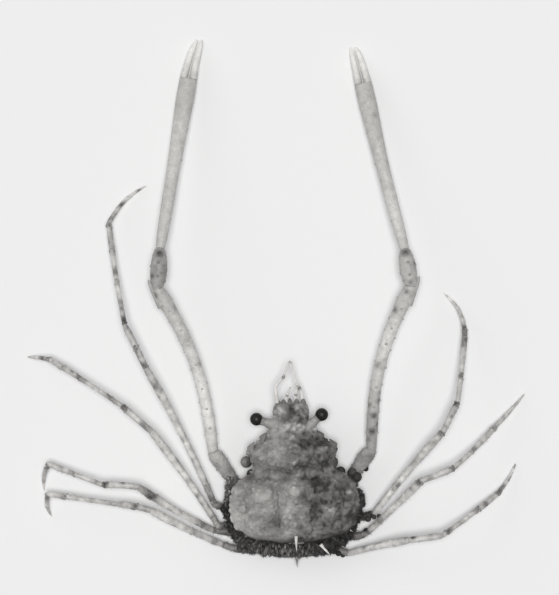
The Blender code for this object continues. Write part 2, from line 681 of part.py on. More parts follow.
class Tube:
    """A piece of a limb: an oval tube along a chord that may bow like half a sine wave."""

    def __init__(self, start, end, bow, sizes):
        self.start = start
        self.end = end
        self.bow = bow
        self.sizes = np.array(sizes)

    def centre(self, step):
        """The point of the middle line at a share of its length."""
        return self.start + (self.end - self.start) * step + self.bow * math.sin(math.pi * step)

    def frame(self, step):
        """Directions along, across and over the tube."""
        along = unit(self.end - self.start + self.bow * math.pi * math.cos(math.pi * step))
        across = unit(np.cross(along, UP))
        return along, across, np.cross(across, along)

    def spot(self, step, angle):
        """A point of the surface and the way straight out of it, the angle 0 on the outer side, 90 on top."""
        along, across, over = self.frame(step)
        half_width, half_height = (from_table(self.sizes, column, step) for column in (1, 2))
        angle = math.radians(angle)
        way = math.cos(angle) * across * half_width + math.sin(angle) * over * half_height
        return self.centre(step) + way, unit(way)

    def rings(self, steps, sides, first_face, last_face):
        """Rings of the tube, the first and last slid along it onto the plane of their joint."""
        made = []
        for number, step in enumerate(steps):
            ring = np.array([self.spot(step, 360.0 * side / sides)[0] for side in range(sides)])
            face = first_face if number == 0 else last_face if number == len(steps) - 1 else None
            if face:
                point, normal = face
                along = self.frame(step)[0]
                ring = ring + np.outer(((point - ring) @ normal) / (along @ normal), along)
            made.append(ring)
        return made


def direction(heading, rise):
    """The unit vector of a heading outward from straight ahead and a rise over level, both in degrees."""
    heading, rise = math.radians(heading), math.radians(rise)
    return np.array((math.sin(heading) * math.cos(rise), math.cos(heading) * math.cos(rise), math.sin(rise)))


def joints_of(hip, pose, tip_height):
    """Joint places from the hip outward, and the bow of each piece. The last comes down to the tip height."""
    places = [np.array((hip[0], hip[1], HIP_HEIGHT))]
    bows = []
    for length, heading, rise, bow in pose:
        if rise is None:
            rise = math.degrees(math.asin((tip_height - places[-1][2]) / length))
        places.append(places[-1] + direction(heading, rise) * length)
        side_way = direction(heading - 90.0, 0.0)
        bows.append(side_way * bow)
    return places, bows


def limb(hip, pose, sizes, tip_height):
    """The tubes of a limb and the two end planes of each, every joint mitred with a gap between its faces."""
    places, bows = joints_of(hip, pose, tip_height)
    tubes = []
    for number, rows in enumerate(sizes):
        tubes.append(Tube(places[number], places[number + 1], bows[number], rows))
    wall = direction(hip[2], 0.0)
    planes = [(places[0], wall)]
    ends = []
    for number, tube in enumerate(tubes):
        along = tube.frame(1.0)[0]
        if number + 1 < len(tubes):
            next_along = tubes[number + 1].frame(0.0)[0]
            normal = unit(along + next_along)
            planes.append((places[number + 1] + normal * GAP / 2, normal))
            ends.append((places[number + 1] - normal * GAP / 2, normal))
        else:
            ends.append((places[number + 1], along))
    return tubes, list(zip(planes, ends))


def walking_legs():
    """The seven legs that are left, each of five pieces."""
    for (side, number), pose in LEG_POSE.items():
        sizes = [LEG_SIZES[piece] for piece in LEG_PIECES]
        tubes, faces = limb(HIPS[number], pose, sizes, TIP_HEIGHT)
        for piece, tube, (first, last) in zip(LEG_PIECES, tubes, faces):
            rings = tube.rings(LEG_STEPS[piece], LEG_SIDES, first, last)
            kind = "hip" if piece == "base" else "leg"
            add_node(f"leg{number}_{piece}_{side}", rings, kind, side)


def stump():
    """What is left of the lost leg: one short swollen piece on its socket."""
    tubes, faces = limb(HIPS[2], (STUMP_POSE,), (STUMP_SIZES,), 0.0)
    first, last = faces[0]
    add_node("leg2_stump_right", tubes[0].rings(STUMP_STEPS, ARM_SIDES, first, last), "hip", "right")


def arm_thorns(tube, seed, rows, radius):
    """Rows of low blunt thorns along a piece of a claw arm: each row is an angle and how many it has."""
    draw = random.Random(seed)
    first, last = THORN_STRETCH
    stray_along, stray_round = THORN_STRAY
    pieces = []
    for angle, count in rows:
        for number in range(count):
            step = (number + 0.5 + draw.uniform(-stray_along, stray_along)) / count
            angle_here = angle + draw.uniform(-stray_round, stray_round)
            root, way = tube.spot(first + (last - first) * step, angle_here)
            size = radius * draw.uniform(*THORN_RANGE)
            pieces.append(cone(root, way, size, size * THORN_RISE, sides=4, sink=0.08, tip=0.35, waist=False))
    return pieces


def claw_arms():
    """Both arms: five pieces to the palm, whose last rings are the fixed finger, and the moving finger."""
    for side, pose in ARM_POSE.items():
        sizes = [ARM_SIZES[piece] for piece in ARM_PIECES]
        places, _bows = joints_of(HIPS[1], pose, TIP_HEIGHT + CLAW_LIFT)
        tubes, faces = limb(HIPS[1], pose[:5], sizes, 0.0)
        for number, piece in enumerate(ARM_PIECES):
            tube = tubes[number]
            first, last = faces[number]
            rings = tube.rings(ARM_STEPS[piece], ARM_SIDES, first, last)
            pieces = []
            if piece in THORN_ROWS:
                rows, radius = THORN_ROWS[piece]
                pieces = arm_thorns(tube, 11 + number, rows, radius)
            if piece == "ischium" and side == "right":
                step, radius, length = ISCHIUM_KNOB
                root, way = tube.spot(step, 0.0)
                pieces.append(cone(root, way, radius, length, tip=0.5))
            if piece == "palm":
                rings += finger_rings(places[5], places[6], tube, FIXED_FINGER, 1.0)
            kind = "hip" if piece == "coxa" else "arm"
            add_node(f"claw_{piece}_{side}", rings, kind, side, pieces)
        knuckle, tip = places[5], places[6]
        rings = finger_rings(knuckle, tip, tubes[4], MOVING_FINGER, -1.0)
        face_way = tubes[4].frame(1.0)[0]
        along = unit(rings[1].mean(axis=0) - rings[0].mean(axis=0))
        ahead = ((knuckle + face_way * GAP - rings[0]) @ face_way) / (along @ face_way)
        rings[0] = rings[0] + np.outer(ahead, along)
        add_node(f"claw_finger_{side}", rings, "arm", side)


def finger_rings(knuckle, tip, palm, rows, edge):
    """Rings of a finger that bends from the hand's direction towards its tip. Edge 1 is the outer finger."""
    start_way, across, over = palm.frame(1.0)
    reach = np.linalg.norm(tip - knuckle)
    made = []
    for step, outer, inner, half_height in rows:
        bend = knuckle + start_way * reach * step
        straight = knuckle + (tip - knuckle) * step
        centre = bend * (1 - step) + straight * step
        middle = centre + across * (edge * (outer + inner) / 2)
        half = (outer - inner) / 2
        ring = []
        for side in range(ARM_SIDES):
            angle = 2 * math.pi * side / ARM_SIDES
            ring.append(middle + across * half * math.cos(angle) + over * half_height * math.sin(angle))
        made.append(np.array(ring))
    return made


def main():
    """The empty that carries the model to its place, then every part."""
    clear_scene()
    axes = bpy.data.objects.new("body_axes", None)
    bpy.context.scene.collection.objects.link(axes)
    axes.location = Vector(BODY_PLACE) * METRES
    axes.rotation_euler = (0.0, 0.0, math.radians(BODY_TURN))
    carapace()
    thorax()
    tail()
    mouth_limbs()
    eyes()
    feelers()
    claw_arms()
    walking_legs()
    stump()


main()
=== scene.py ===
"""Euprognatha granulata, a small spider crab: the looks of one large male lying still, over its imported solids.

All shapes are worked out in millimetres in the crab's own frame: forward is +Y, the crab's right is +X, up is +Z, and
the floor under its heart is the origin. in_place() moves each finished mesh into the model's frame, in metres.
"""
import math
import random

import bpy
import numpy as np
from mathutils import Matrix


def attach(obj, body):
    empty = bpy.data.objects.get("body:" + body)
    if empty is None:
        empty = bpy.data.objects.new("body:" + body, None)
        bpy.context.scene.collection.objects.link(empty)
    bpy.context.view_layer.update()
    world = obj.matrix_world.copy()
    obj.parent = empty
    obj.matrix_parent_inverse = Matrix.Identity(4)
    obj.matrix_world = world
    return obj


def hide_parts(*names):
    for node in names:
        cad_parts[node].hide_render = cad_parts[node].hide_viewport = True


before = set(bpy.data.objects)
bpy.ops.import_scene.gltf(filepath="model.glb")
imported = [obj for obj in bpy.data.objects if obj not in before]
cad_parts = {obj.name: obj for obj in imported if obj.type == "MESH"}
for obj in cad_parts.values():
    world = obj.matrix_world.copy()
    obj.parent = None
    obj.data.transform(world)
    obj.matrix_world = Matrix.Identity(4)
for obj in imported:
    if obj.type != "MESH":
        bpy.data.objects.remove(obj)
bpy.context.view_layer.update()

# Breast plate
# The body's floor is one plate of fused rings, thin lime-hardened shell, smooth and pale, with a seam between two
# rings running in from each gap between the legs. The legs stand on its edge.
METRES = 0.001
BODY_PLACE = np.array((1.54, -15.9, 0.0))
BODY_TURN = math.radians(2.4)
UP = np.array((0.0, 0.0, 1.0))
GAP = 0.25
PLATE_FRONT, PLATE_REAR = 1.45, -4.85
PLATE_MIDDLE = np.array((0.0, -1.7))
# socket of each leg: out, along, the way it faces in degrees from straight ahead
HIPS = {1: (4.85, 0.1, 58.0), 2: (4.75, -1.2, 76.0), 3: (4.65, -2.5, 90.0), 4: (4.15, -3.7, 101.0),
        5: (2.8, -4.72, 118.0)}
# share of the way out from the middle, and height, from the middle of the lower side to that of the upper side
PLATE_PROFILE = np.array((
    (0.0, 0.02, 0.96), (0.2, 0.3, 0.94), (0.4, 0.8, 0.9), (0.48, 0.94, 0.93), (0.54, 1.0, 1.12),
    (0.7, 1.0, 1.8), (0.78, 0.97, 1.92), (0.84, 0.9, 1.95), (1.0, 0.02, 1.95)))
SEAM_DEPTH, SEAM_WIDTH = 0.09, 0.1


def unit(vectors):
    """Each vector divided by its own length."""
    return vectors / np.linalg.norm(vectors, axis=-1, keepdims=True)


def in_place(points):
    """Points turned 2.4 degrees about the upright axis, moved to the crab's place in the model, and made metres."""
    cosine, sine = math.cos(BODY_TURN), math.sin(BODY_TURN)
    turn = np.array(((cosine, -sine, 0.0), (sine, cosine, 0.0), (0.0, 0.0, 1.0)))
    return (points @ turn.T + BODY_PLACE) * METRES


def from_table(table, column, at):
    """A column of a table between its rows, by cubic curves whose slope at each row is that of its neighbours."""
    place, value = table[:, 0], table[:, column]
    slope = np.gradient(value, place)
    row = np.clip(np.searchsorted(place, at) - 1, 0, len(place) - 2)
    width = place[row + 1] - place[row]
    part = (at - place[row]) / width
    near = value[row] * (1 + 2 * part) * (1 - part) ** 2 + value[row + 1] * part ** 2 * (3 - 2 * part)
    turn = slope[row] * part * (1 - part) ** 2 - slope[row + 1] * part ** 2 * (1 - part)
    return near + turn * width


def columns(table, numbers, at):
    """Several columns of a table at the same places."""
    return [from_table(table, column, at) for column in numbers]


def run_of(points):
    """How far each point lies from the first, along the straight lines between them."""
    return np.concatenate(([0.0], np.cumsum(np.linalg.norm(np.diff(points, axis=0), axis=1))))


def circle(across, over, sides):
    """A unit circle of that many points for each pair of ways across and over."""
    angle = (np.arange(sides) * 2 * math.pi / sides)[None, :, None]
    return np.cos(angle) * across + np.sin(angle) * over


def skin(rings, tone):
    """A closed surface over a grid of rings: faces join each point to the next on its ring and on the next ring,
    and a fan closes each end at the middle of its last ring. Where the enclosed volume is negative, all faces are
    turned over."""
    count, sides = rings.shape[:2]
    ring, side = np.meshgrid(np.arange(count - 1), np.arange(sides), indexing="ij")
    here, beside = ring * sides + side, ring * sides + (side + 1) % sides
    quads = np.stack((here, beside, beside + sides, here + sides), axis=-1).reshape(-1, 4)
    edge, ahead = np.arange(sides), (np.arange(sides) + 1) % sides
    last = (count - 1) * sides
    first_middle, last_middle = count * sides, count * sides + 1
    tris = np.vstack((np.stack((ahead, edge, np.full(sides, first_middle)), axis=-1),
                      np.stack((last + edge, last + ahead, np.full(sides, last_middle)), axis=-1)))
    points = np.vstack((rings.reshape(-1, 3), rings[0].mean(axis=0), rings[-1].mean(axis=0)))
    tone = np.broadcast_to(tone, (count, sides))
    tones = np.concatenate((tone.reshape(-1), (tone[0].mean(), tone[-1].mean())))
    corners = np.concatenate((tris, quads[:, :3], quads[:, (0, 2, 3)]))
    a, b, c = points[corners].transpose(1, 0, 2)
    if np.einsum("ij,ij", a, np.cross(b, c)) < 0:
        quads, tris = quads[:, ::-1], tris[:, ::-1]
    return points, quads, tris, tones


def joined(*forms):
    """One form made of several: their points, faces and grey levels one after another."""
    starts = np.cumsum([0] + [len(form[0]) for form in forms])
    return (np.vstack([form[0] for form in forms]),
            np.vstack([form[1] + start for form, start in zip(forms, starts)]),
            np.vstack([form[2] + start for form, start in zip(forms, starts)]),
            np.concatenate([form[3] for form in forms]))


def linear(hex_colour):
    """The linear red, green, blue and opaque alpha of an sRGB colour such as "c8c4bc"."""
    parts = np.array([int(hex_colour[at:at + 2], 16) for at in (0, 2, 4)]) / 255
    return (*np.where(parts <= 0.04045, parts / 12.92, ((parts + 0.055) / 1.055) ** 2.4), 1.0)


def add(tree, kind, settings=(), **links):
    """A node of that kind, with its settings, and a link or a value for each named input."""
    made = tree.nodes.new(kind)
    for name, value in dict(settings).items():
        setattr(made, name, value)
    for name, source in links.items():
        socket = made.inputs[int(name[2:])] if name.startswith("in") else made.inputs[name.replace("_", " ")]
        if isinstance(source, bpy.types.NodeSocket):
            tree.links.new(source, socket)
        else:
            socket.default_value = source
    return made


def fill(node, **values):
    """Set the plain values of a node's named inputs."""
    for name, value in values.items():
        node.inputs[name.replace("_", " ")].default_value = value


def new_material(name):
    """A material with that name, its node tree and its shader."""
    made = bpy.data.materials.new(name)
    made.use_nodes = True
    return made, made.node_tree, made.node_tree.nodes["Principled BSDF"]


def in_scene(name, data):
    """An object of that data, at the origin of the scene."""
    made = bpy.data.objects.new(name, data)
    bpy.context.scene.collection.objects.link(made)
    return made


def shell_finish(name, mottle_mm, mottle, grain_mm, grain_height_mm, roughness, greys):
    """Lime-hardened crab shell. Its grey comes from the mesh's own "tone", shifted by cloudy blotches of one size and
    by fine specks, and read off a scale of shell colours. Fine grains of one size stand out of it as a bump."""
    made, tree, shader = new_material(name)
    place = add(tree, "ShaderNodeTexCoord").outputs["Object"]
    tone = add(tree, "ShaderNodeAttribute", {"attribute_name": "tone"}).outputs["Fac"]
    blotch = add(tree, "ShaderNodeTexNoise", Vector=place, Scale=1000 / mottle_mm, Detail=3.0, Roughness=0.6)
    speck = add(tree, "ShaderNodeTexNoise", Vector=place, Scale=1000 / (mottle_mm * 0.25), Detail=2.0,
                Roughness=0.5)
    cloud = add(tree, "ShaderNodeMapRange", Value=blotch.outputs[0], in1=0.3, in2=0.7, in3=-mottle, in4=mottle)
    fleck = add(tree, "ShaderNodeMapRange", Value=speck.outputs[0], in1=0.3, in2=0.7, in3=-mottle / 2,
                in4=mottle / 2)
    shifted = add(tree, "ShaderNodeMath", in0=cloud.outputs[0], in1=fleck.outputs[0])
    level = add(tree, "ShaderNodeMath", in0=tone, in1=shifted.outputs[0])
    scale = add(tree, "ShaderNodeValToRGB", Fac=level.outputs[0])
    stops = scale.color_ramp.elements
    for number, colour in enumerate(greys):
        stop = stops[number] if number < 2 else stops.new(1.0)
        stop.position = number / (len(greys) - 1)
        stop.color = linear(colour)
    grain = add(tree, "ShaderNodeTexVoronoi", Vector=place, Scale=1000 / grain_mm)
    bump = add(tree, "ShaderNodeBump", {"invert": True}, Height=grain.outputs["Distance"], Strength=1.0,
               Distance=grain_height_mm * METRES)
    tree.links.new(scale.outputs["Color"], shader.inputs["Base Color"])
    tree.links.new(bump.outputs["Normal"], shader.inputs["Normal"])
    fill(shader, Roughness=roughness, IOR=1.5, Specular_IOR_Level=0.35)
    return made


def add_piece(name, form, finish, side="right", nodes=()):
    """A mesh object of a form, mirrored across the midline for the left, kept above the floor and moved in place. It
    rides on the body, takes a finish, and stands for the named solids."""
    points, quads, tris, tone = form
    if side == "left":
        points, quads, tris = points * (-1.0, 1.0, 1.0), quads[:, ::-1], tris[:, ::-1]
    points = np.maximum(points, (-np.inf, -np.inf, 0.0))
    mesh = bpy.data.meshes.new(name)
    mesh.from_pydata(in_place(points).tolist(), [], quads.tolist() + tris.tolist())
    mesh.attributes.new("tone", "FLOAT", "POINT").data.foreach_set("value", tone.astype(np.float32))
    mesh.shade_smooth()
    mesh.materials.append(finish)
    piece = in_scene(name, mesh)
    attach(piece, "root")
    if nodes:
        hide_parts(*nodes)


SHELL_GREYS = ("0b0a0a", "403f3e", "807e7c", "bfbdba", "fffdf9")
# Belly shell: thin lime-hardened chitin, smooth, faintly cloudy and satin
belly_shell = shell_finish("lime_shell_smooth_belly", 0.9, 0.05, 0.1, 0.004, 0.45, SHELL_GREYS)


def breast_plate():
    """The plate's outline is the polygon of the planes that the legs stand on. Each point of a ring goes the share
    of the way from the middle to the outline that the profile gives. Seams sink into the lower side near straight
    lines from each corner inward."""
    lines = [(np.array((0.0, 1.0)), PLATE_FRONT)]
    for out, along, facing in HIPS.values():
        way = np.array((math.sin(math.radians(facing)), math.cos(math.radians(facing))))
        lines.append((way, way @ (out, along) - GAP))
    lines.append((np.array((0.0, -1.0)), -PLATE_REAR))
    corners = np.array([np.linalg.solve(np.array((way, next_way)), np.array((reach, next_reach)))
                        for (way, reach), (next_way, next_reach) in zip(lines, lines[1:])])
    outline = np.vstack((corners, corners[::-1] * (-1.0, 1.0)))
    closed = np.vstack((outline, outline[:1]))
    run = run_of(closed)
    spots = np.linspace(0.0, run[-1], 400, endpoint=False)
    rim = np.stack([np.interp(spots, run, closed[:, axis]) for axis in (0, 1)], axis=-1)
    steps = np.linspace(0.0, 1.0, 90)
    share = np.interp(steps, PLATE_PROFILE[:, 0], PLATE_PROFILE[:, 1])
    height = np.interp(steps, PLATE_PROFILE[:, 0], PLATE_PROFILE[:, 2])
    flat = PLATE_MIDDLE + (rim - PLATE_MIDDLE) * share[:, None, None]
    sunk = np.zeros(flat.shape[:2])
    for corner in corners[1:-1]:
        inner = np.array((0.9, corner[1] * 0.8 - 0.3))
        way = unit(inner - corner)
        for mirror in (1.0, -1.0):
            beyond = (flat * (mirror, 1.0) - corner) @ way
            aside = (flat * (mirror, 1.0) - corner) @ (-way[1], way[0])
            on_it = (beyond > -0.2) & (beyond < np.linalg.norm(inner - corner))
            sunk = np.maximum(sunk, on_it * np.exp(-(aside / SEAM_WIDTH) ** 2))
    lower = (steps < 0.5)[:, None]
    height = height[:, None] + lower * sunk * SEAM_DEPTH
    return skin(np.dstack((flat, height)), 0.62 - 0.2 * sunk * lower)


add_piece("breast_plate", breast_plate(), belly_shell, nodes=("thorax",))

# Tail flap
# The narrow tail of a male: seven flat rings of thin shell, hinged to one another by soft seams. It leaves the back
# of the shell with one thin spine, bends round and lies folded flat under the breast plate, where the body rests.
# place along the axis, height, half width, half thickness
TAIL = np.array((
    (-5.3, 2.95, 1.7, 0.22), (-5.48, 2.3, 2.05, 0.26), (-5.46, 1.5, 2.02, 0.28), (-5.14, 0.8, 1.8, 0.29),
    (-4.45, 0.36, 1.62, 0.31), (-3.4, 0.31, 1.5, 0.31), (-2.3, 0.31, 1.25, 0.31), (-1.2, 0.31, 1.1, 0.31),
    (-0.1, 0.31, 0.95, 0.31), (0.9, 0.31, 0.45, 0.31)))
TAIL_RINGS, TAIL_SEAM_DEPTH, TAIL_POWER = 6.5, 0.07, 2.6
TAIL_SPINE_ROOT, TAIL_SPINE_WAY = np.array((0.0, -5.62, 2.35)), np.array((0.0, -1.0, 0.05))


def spine(root, way, radius, length, tone, taper=1.2, sides=14):
    """A thorn of shell: rings from under the surface to a blunt tip, each as wide as (1 - share of length) to the
    power of its taper. Below 1 the thorn is blunt as a knob, above 1 it is drawn out."""
    way = unit(np.asarray(way, float))
    helper = UP if abs(way[2]) < 0.9 else np.array((1.0, 0.0, 0.0))
    across = unit(np.cross(way, helper))
    other = np.cross(way, across)
    step = np.linspace(-0.25, 1.0, 11)[:, None, None]
    width = np.clip(1.0 - step, 0.0, 1.2) ** taper * 0.92 + 0.08
    return skin(root + way * length * step + circle(across, other, sides) * radius * width, tone)


def oval(angle, power):
    """Both coordinates of an oval of that power: 2 is round, and more is squarer."""
    cosine, sine = np.cos(angle), np.sin(angle)
    return np.sign(cosine) * np.abs(cosine) ** (2 / power), np.sign(sine) * np.abs(sine) ** (2 / power)


def tail_flap():
    """An oval of high power carried along the bent middle line of the tail, drawn in at each seam."""
    run = run_of(TAIL[:, :2])
    table = np.column_stack((run / run[-1], TAIL))
    step = np.linspace(0.0, 1.0, 240)
    along, height, half, thick = columns(table, (1, 2, 3, 4), step)
    way = unit(np.stack((np.gradient(along), np.gradient(height)), axis=-1))
    seam = np.exp(-((np.mod(step * TAIL_RINGS, 1.0) - 0.5) / 0.055) ** 2)
    rounded = np.clip(1.0 - ((step - 0.93) / 0.07).clip(0.0, 1.0) ** 2, 0.02, 1.0) ** 0.5
    half = (half - TAIL_SEAM_DEPTH * seam) * rounded
    wide, deep = oval(np.linspace(0.0, 2 * math.pi, 64, endpoint=False), TAIL_POWER)
    ridge = 0.05 * np.exp(-(wide / 0.3) ** 2) * (deep > 0)
    reach = deep * (thick - TAIL_SEAM_DEPTH * seam)[:, None] + ridge
    rings = np.stack((wide * half[:, None], along[:, None] - way[:, 1:] * reach,
                      height[:, None] + way[:, :1] * reach), axis=-1)
    return skin(rings, (0.24 + 0.36 * np.clip((step - 0.25) * 4, 0, 1) - 0.1 * seam)[:, None])


tail_spine = spine(TAIL_SPINE_ROOT, TAIL_SPINE_WAY, 0.2, 1.0, 0.5)
add_piece("tail_flap", joined(tail_flap(), tail_spine), belly_shell, nodes=("abdomen",))

# Carapace
# One pear-shaped shield of thick lime-hardened shell over the whole back, swollen over stomach, heart and gills, with
# grooves between, covered in blunt granules, and with spines on the midline, the flanks and the short broad rostrum.
# place along the axis, half width, height of the back, height of the widest line, height of the lower side
SHELL = np.array((
    (-4.5, 0.8, 3.55, 3.0, 2.45), (-4.2, 2.75, 4.1, 3.05, 2.25), (-3.8, 4.15, 4.55, 3.1, 2.2),
    (-3.3, 4.85, 4.9, 3.15, 2.2), (-2.4, 5.35, 5.15, 3.2, 2.2), (-1.5, 5.5, 5.3, 3.25, 2.2),
    (-0.6, 5.48, 5.45, 3.3, 2.2), (0.1, 5.25, 5.5, 3.3, 2.2), (0.8, 4.85, 5.2, 3.3, 2.2),
    (1.35, 4.05, 5.1, 3.35, 2.2), (1.9, 3.46, 5.3, 3.4, 2.2), (2.6, 3.52, 5.55, 3.45, 2.2),
    (3.5, 3.78, 5.35, 3.5, 2.3), (4.1, 3.05, 5.0, 3.6, 2.5), (4.7, 2.5, 4.75, 3.7, 2.75),
    (5.3, 1.85, 4.6, 3.8, 2.95), (5.9, 1.52, 4.55, 3.85, 3.1), (6.6, 1.5, 4.5, 3.85, 3.2),
    (7.15, 1.46, 4.35, 3.85, 3.35), (7.4, 1.3, 4.2, 3.85, 3.5)))
# powers of its ovals: sideways, of the back and of the lower side
SIDE_POWER, BACK_POWER, LOWER_POWER = 0.85, 0.92, 0.6
# swellings and grooves of both sides: out from the midline, along, reach sideways, reach lengthwise, rise
REGIONS = (
    (0.0, 3.0, 1.3, 1.2, 0.45), (0.0, -0.1, 1.05, 1.1, 0.5), (0.0, -2.9, 1.0, 0.9, 0.3),
    (3.1, -0.6, 1.3, 1.1, 0.4), (2.9, -2.6, 1.3, 0.8, 0.3), (2.7, 3.3, 0.7, 0.8, 0.3),
    (1.6, -0.4, 0.35, 1.4, -0.35), (1.5, -2.3, 0.35, 0.9, -0.3), (1.9, 1.45, 1.0, 0.4, -0.45),
    (0.0, 1.3, 0.9, 0.35, -0.25), (0.0, 5.6, 0.45, 1.1, -0.2))
# spines: out from the midline, along, lean outward, lean forward, root radius, length; those off it on both sides
SHELL_SPINES = (
    (0.0, 2.9, 0.0, 0.3, 0.3, 0.65), (0.0, 0.1, 0.0, 0.1, 0.34, 0.75), (0.0, -4.05, 0.0, -2.6, 0.32, 1.25),
    (1.8, 2.4, 0.2, 0.2, 0.24, 0.42), (4.45, -1.4, 0.9, 0.0, 0.28, 0.5), (4.95, 0.25, 1.6, 0.4, 0.26, 0.42),
    (3.45, 3.7, 3.2, 0.4, 0.4, 0.45), (2.45, 4.55, 3.2, 1.0, 0.34, 0.38), (1.32, 6.7, 1.4, 0.8, 0.2, 0.32))
# spines of the front edge: out from the midline, height, root radius, length
FRONT_SPINES = ((-0.58, 4.0, 0.24, 0.5), (0.52, 4.0, 0.24, 0.5), (-0.05, 3.72, 0.2, 0.62),
                (-1.02, 3.8, 0.24, 0.42), (1.08, 3.8, 0.24, 0.46))
# worn white spines of the hind edge, root and tip (out, along, height)
HIND_SPINES = (((3.99, -3.04, 3.5), (4.81, -3.72, 3.45)), ((2.22, -4.89, 3.2), (2.82, -5.65, 2.95)))
# knobs in the notches of the flanks: out, along, height, radius, grey. The first is painted paler on its outer,
# left side and darker on its inner side, as painted light from the left
FLANK_KNOBS = (
    (-3.95, 2.55, 3.05, 0.5, 0.36), (-3.55, 1.53, 3.62, 0.42, 0.08), (4.02, 1.42, 3.05, 0.42, 0.12),
    (3.35, 2.25, 3.45, 0.5, 0.3), (4.99, 1.31, 2.8, 0.38, 0.22), (5.4, 0.87, 2.75, 0.42, 0.14),
    (4.95, 0.46, 2.7, 0.36, 0.26), (5.45, -1.5, 3.05, 0.42, 0.14), (-3.02, 1.08, 3.7, 0.24, 0.12))
COARSE_GRANULES, FINE_GRANULES, EDGE_GRANULES = 150, 420, 27
# half width, middle and half length of the field of granules, and the turn from each to the next
FIELD_OUT, FIELD_MIDDLE, FIELD_ALONG, GOLDEN_TURN = 5.5, 1.5, 6.2, math.radians(137.508)
# bells of both signs on the shield: how many, smallest and largest reach; clouds also rise and sink by their height,
# and their grey follows that height as painted shading: paler where they rise, darker where they sink
CLOUDS, STAIN_AND_SHADE_SPECKS, CLOUD_HEIGHT = (340, 0.3, 0.8), (2600, 0.1, 0.26), 0.055
# worn white granules: out, along, radius
PALE_GRANULES = ((1.8, 2.39, 0.15), (4.53, -1.38, 0.17), (5.42, -1.55, 0.15), (0.05, 0.02, 0.2),
                 (0.3, -0.2, 0.12))
# grey marks: out (the crab's right is positive), along, reach sideways, reach lengthwise, change of grey
SHELL_MARKS = (
    (2.2, 2.3, 2.0, 2.4, -0.08),  # darker right side of the stomach and liver regions, stain and painted shade
    (2.9, -0.3, 1.9, 1.5, -0.13),  # darkest patch, right gill region in front, stain and painted shade
    (-4.7, -2.4, 0.8, 1.5, 0.1),  # pale rim of the left gill region, partly painted light from the left
    (-3.4, -1.6, 1.2, 1.2, -0.02),  # left gill region
    (-2.3, 3.2, 1.1, 1.4, -0.05),  # left side of the stomach region
    (4.95, -2.6, 0.8, 0.9, -0.3),  # felt over the right hind rim
    (3.9, -4.0, 1.0, 0.5, -0.28),  # the same felt farther back
    (-1.5, -2.2, 0.45, 1.2, -0.14),  # painted shade in the groove between heart and left gill region
    (1.6, -2.2, 0.45, 1.0, -0.08),  # painted shade in the same groove on the right
    (0.0, 0.0, 0.65, 0.6, 0.22),  # pale heart region
    (0.1, -3.6, 0.8, 0.5, 0.05),  # paler gut region
    (-0.45, 3.6, 0.42, 1.7, -0.09),  # dark streak left of the midline
    (0.05, 5.35, 1.2, 0.35, 0.1),  # pale band between the eyes
    (0.75, 6.05, 0.5, 0.45, -0.09),  # dark patch on the rostrum
    (1.4, 4.3, 0.7, 0.35, -0.09),  # dark band behind the right eye
    (2.6, 4.3, 0.6, 0.35, -0.1),  # the same band farther out
    (1.95, 0.75, 0.5, 0.45, -0.07),  # painted shade at the right end of the groove behind the stomach
    (-2.0, 0.25, 0.6, 0.35, -0.06),  # painted shade at the left end of the same groove
    (-3.6, 1.3, 0.5, 0.45, -0.2))  # dark notch of the left flank


def shell_surface(along, turn):
    """The bare shield at a place along the axis and a turn in degrees round it: -90 belly, 0 right edge, 90 midline
    of the back, 180 left edge. The outline is an oval of its own power above and below the widest line, and every
    region adds a bell-shaped swelling to the upper side."""
    half, back, line, low = columns(SHELL, (1, 2, 3, 4), along)
    cosine, sine = np.cos(np.radians(turn)), np.sin(np.radians(turn))
    out = half * np.sign(cosine) * np.abs(cosine) ** SIDE_POWER
    above = line + (back - line) * np.abs(sine) ** BACK_POWER
    below = line - (line - low) * np.abs(sine) ** LOWER_POWER
    height = np.where(sine >= 0, above, below)
    weight = np.clip(sine, 0.0, 1.0) ** 0.7
    for place_out, place_along, reach_out, reach_along, rise in REGIONS:
        far = ((np.abs(out) - place_out) / reach_out) ** 2 + ((along - place_along) / reach_along) ** 2
        height = height + weight * rise * np.exp(-far)
    return np.stack(np.broadcast_arrays(out, along, height), axis=-1)


def shell_turn(along, out):
    """The turn at which the upper side stands that far out from the midline."""
    ratio = np.clip(out / from_table(SHELL, 1, along), -0.98, 0.98)
    return np.degrees(np.arccos(np.sign(ratio) * np.abs(ratio) ** (1 / SIDE_POWER)))


def shell_normal(along, turn):
    """The way straight out of the shield: across its slopes along the axis and round it."""
    ahead = shell_surface(along + 0.04, turn) - shell_surface(along - 0.04, turn)
    around = shell_surface(along, turn + 0.8) - shell_surface(along, turn - 0.8)
    return unit(np.cross(ahead, around))


def granule_spots(count, seed, low, high, spread):
    """Places and sizes of granules by the golden angle: number n stands at n golden turns, out by the root of n."""
    draw = random.Random(seed)
    spots = []
    for number in range(1, count):
        turn, radius = number * GOLDEN_TURN, math.sqrt(number / count)
        out = FIELD_OUT * radius * math.cos(turn) + draw.uniform(-spread, spread)
        along = FIELD_MIDDLE + FIELD_ALONG * radius * math.sin(turn) + draw.uniform(-spread, spread)
        if -4.4 < along < 7.2 and abs(out) < 0.97 * from_table(SHELL, 1, along):
            spots.append((out, along, draw.uniform(low, high), draw.random()))
    return np.array(spots)


def bells(grid, along, count, low, high, seed):
    """A field of random bells of both signs on the upper side of the shield."""
    draw = np.random.default_rng(seed)
    field = np.zeros(grid.shape[:2])
    place_along = draw.uniform(SHELL[0, 0], SHELL[-1, 0], count)
    place_out = draw.uniform(-1.0, 1.0, count) * from_table(SHELL, 1, place_along)
    places = shell_surface(place_along, shell_turn(place_along, place_out))
    for place, reach, sign in zip(places, draw.uniform(low, high, count), draw.choice((-1.0, 1.0), count)):
        first, last = np.searchsorted(along, (place[1] - reach * 2.2, place[1] + reach * 2.2))
        field[first:last] += sign * np.exp(-((grid[first:last] - place) ** 2).sum(axis=-1) / reach ** 2)
    return field


